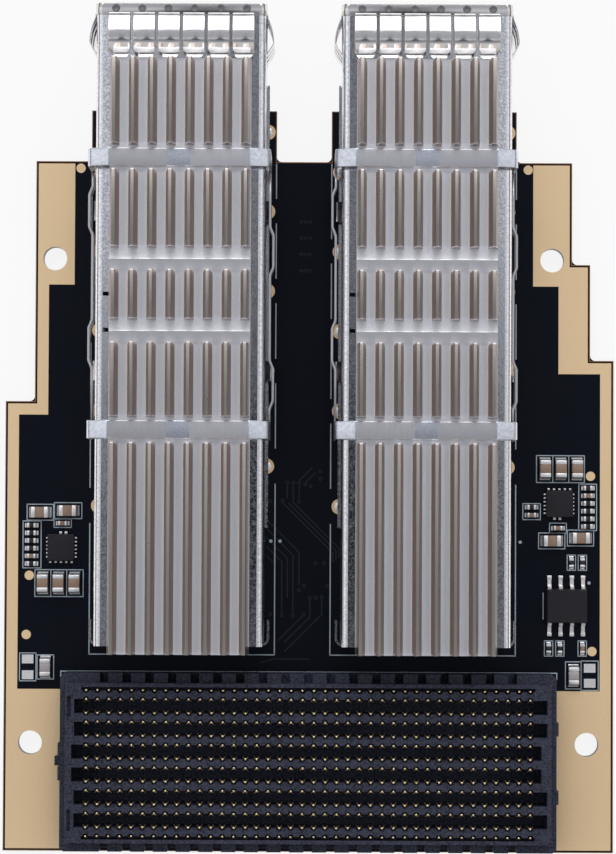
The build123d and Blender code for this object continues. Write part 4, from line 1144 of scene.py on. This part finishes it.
def make_light():
    """Soft light from a sky that is dark straight up, where the camera stands, and has bright rings
    round that and a dim warm horizon. A dark patch that is wider towards the rear lies across the
    bright rings. The sky is brighter towards the front and dimmer at both sides, and the camera
    itself sees plain white."""
    world = bpy.data.worlds.new("studio")
    bpy.context.scene.world = world
    world.use_nodes = True
    tree = world.node_tree
    split = add_node(tree, "SeparateXYZ", ((0, add_node(tree, "TexCoord").outputs["Generated"]),)).outputs
    flat = add_node(tree, "CombineXYZ", (("X", split["X"]), ("Y", split["Y"])))
    away = add_node(tree, "VectorMath", ((0, flat.outputs[0]),), operation="LENGTH")
    ramp = add_node(tree, "ValToRGB", (("Fac", away.outputs["Value"]),))
    stops = ramp.color_ramp.elements
    stops[0].position, stops[0].color = 0.0, rgb(0.02, 0.02, 0.025)
    stops[1].position, stops[1].color = 1.0, rgb(0.16, 0.12, 0.09)
    for position, colour in WORLD_RINGS:
        stops.new(position).color = rgb(*colour)
    across = maths(tree, "ABSOLUTE", split["X"])
    along = maths(tree, "ABSOLUTE", split["Y"])
    spread = smooth_range(tree, split["Y"], (-0.03, 0.13), (1.9, 1.0))
    patch_light = 0.14
    wedge = smooth_range(tree, maths(tree, "DIVIDE", across, spread), (0.042, 0.065), (patch_light, 1.0))
    length = smooth_range(tree, along, (0.2, 0.45), (patch_light, 1.0))
    front = smooth_range(tree, split["Y"], (-0.04, 0.17), (0.8, 1.1))
    gain = maths(tree, "MULTIPLY", maths(tree, "MAXIMUM", wedge, length), front)
    cap = (1.05, 1.05, 1.07)
    sky = add_node(tree, "VectorMath", ((0, scaled(tree, ramp.outputs["Color"], gain)), (1, cap)),
                   operation="MINIMUM")
    sides = smooth_range(tree, across, (0.25, 0.7), (1.0, 0.62))
    seen = add_node(tree, "LightPath").outputs["Is Camera Ray"]
    mix = add_node(tree, "Mix", data_type="RGBA")
    wire(tree, mix.inputs["Factor"], seen)
    wire(tree, mix.inputs["A"], scaled(tree, sky.outputs["Vector"], sides))
    wire(tree, mix.inputs["B"], rgb(1.0, 1.0, 1.0))
    background = tree.nodes["Background"].inputs
    wire(tree, background["Color"], mix.outputs["Result"])
    wire(tree, background["Strength"], 0.8)
    aim = (0.0, 0.03, 0.0)
    area_light("left_softbox", (-0.62, 0.1, 0.6), aim, (0.5, 0.9), 0.5)
    area_light("right_softbox", (0.62, 0.1, 0.6), aim, (0.5, 0.9), 0.35)
    area_light("top_softbox", (0.0, 0.68, 0.6), aim, (0.9, 0.4), 2.6)


def make_camera():
    """Camera above the card, at the place and tilt that the photo was taken from."""
    camera = bpy.data.cameras.new("camera")
    camera.sensor_fit = "HORIZONTAL"
    camera.sensor_width = 36.0
    camera.lens = 180.2
    camera.clip_start = 0.01
    holder = bpy.data.objects.new("camera", camera)
    bpy.context.scene.collection.objects.link(holder)
    place = (0.0002125, 0.025385, 0.3515)
    tilt_x, tilt_y, roll = -0.0299, -0.0011, -0.0044
    turn = Matrix.Rotation(roll, 3, "Z") @ Matrix.Rotation(tilt_y, 3, "Y") @ Matrix.Rotation(tilt_x, 3, "X")
    holder.matrix_world = Matrix.Translation(place) @ turn.transposed().to_4x4()
    bpy.context.scene.camera = holder


make_connector()
make_cages()
make_board_details()
make_chips()
finish_solids()
make_floor()
make_light()
make_camera()
bpy.context.scene.view_settings.view_transform = "Standard"
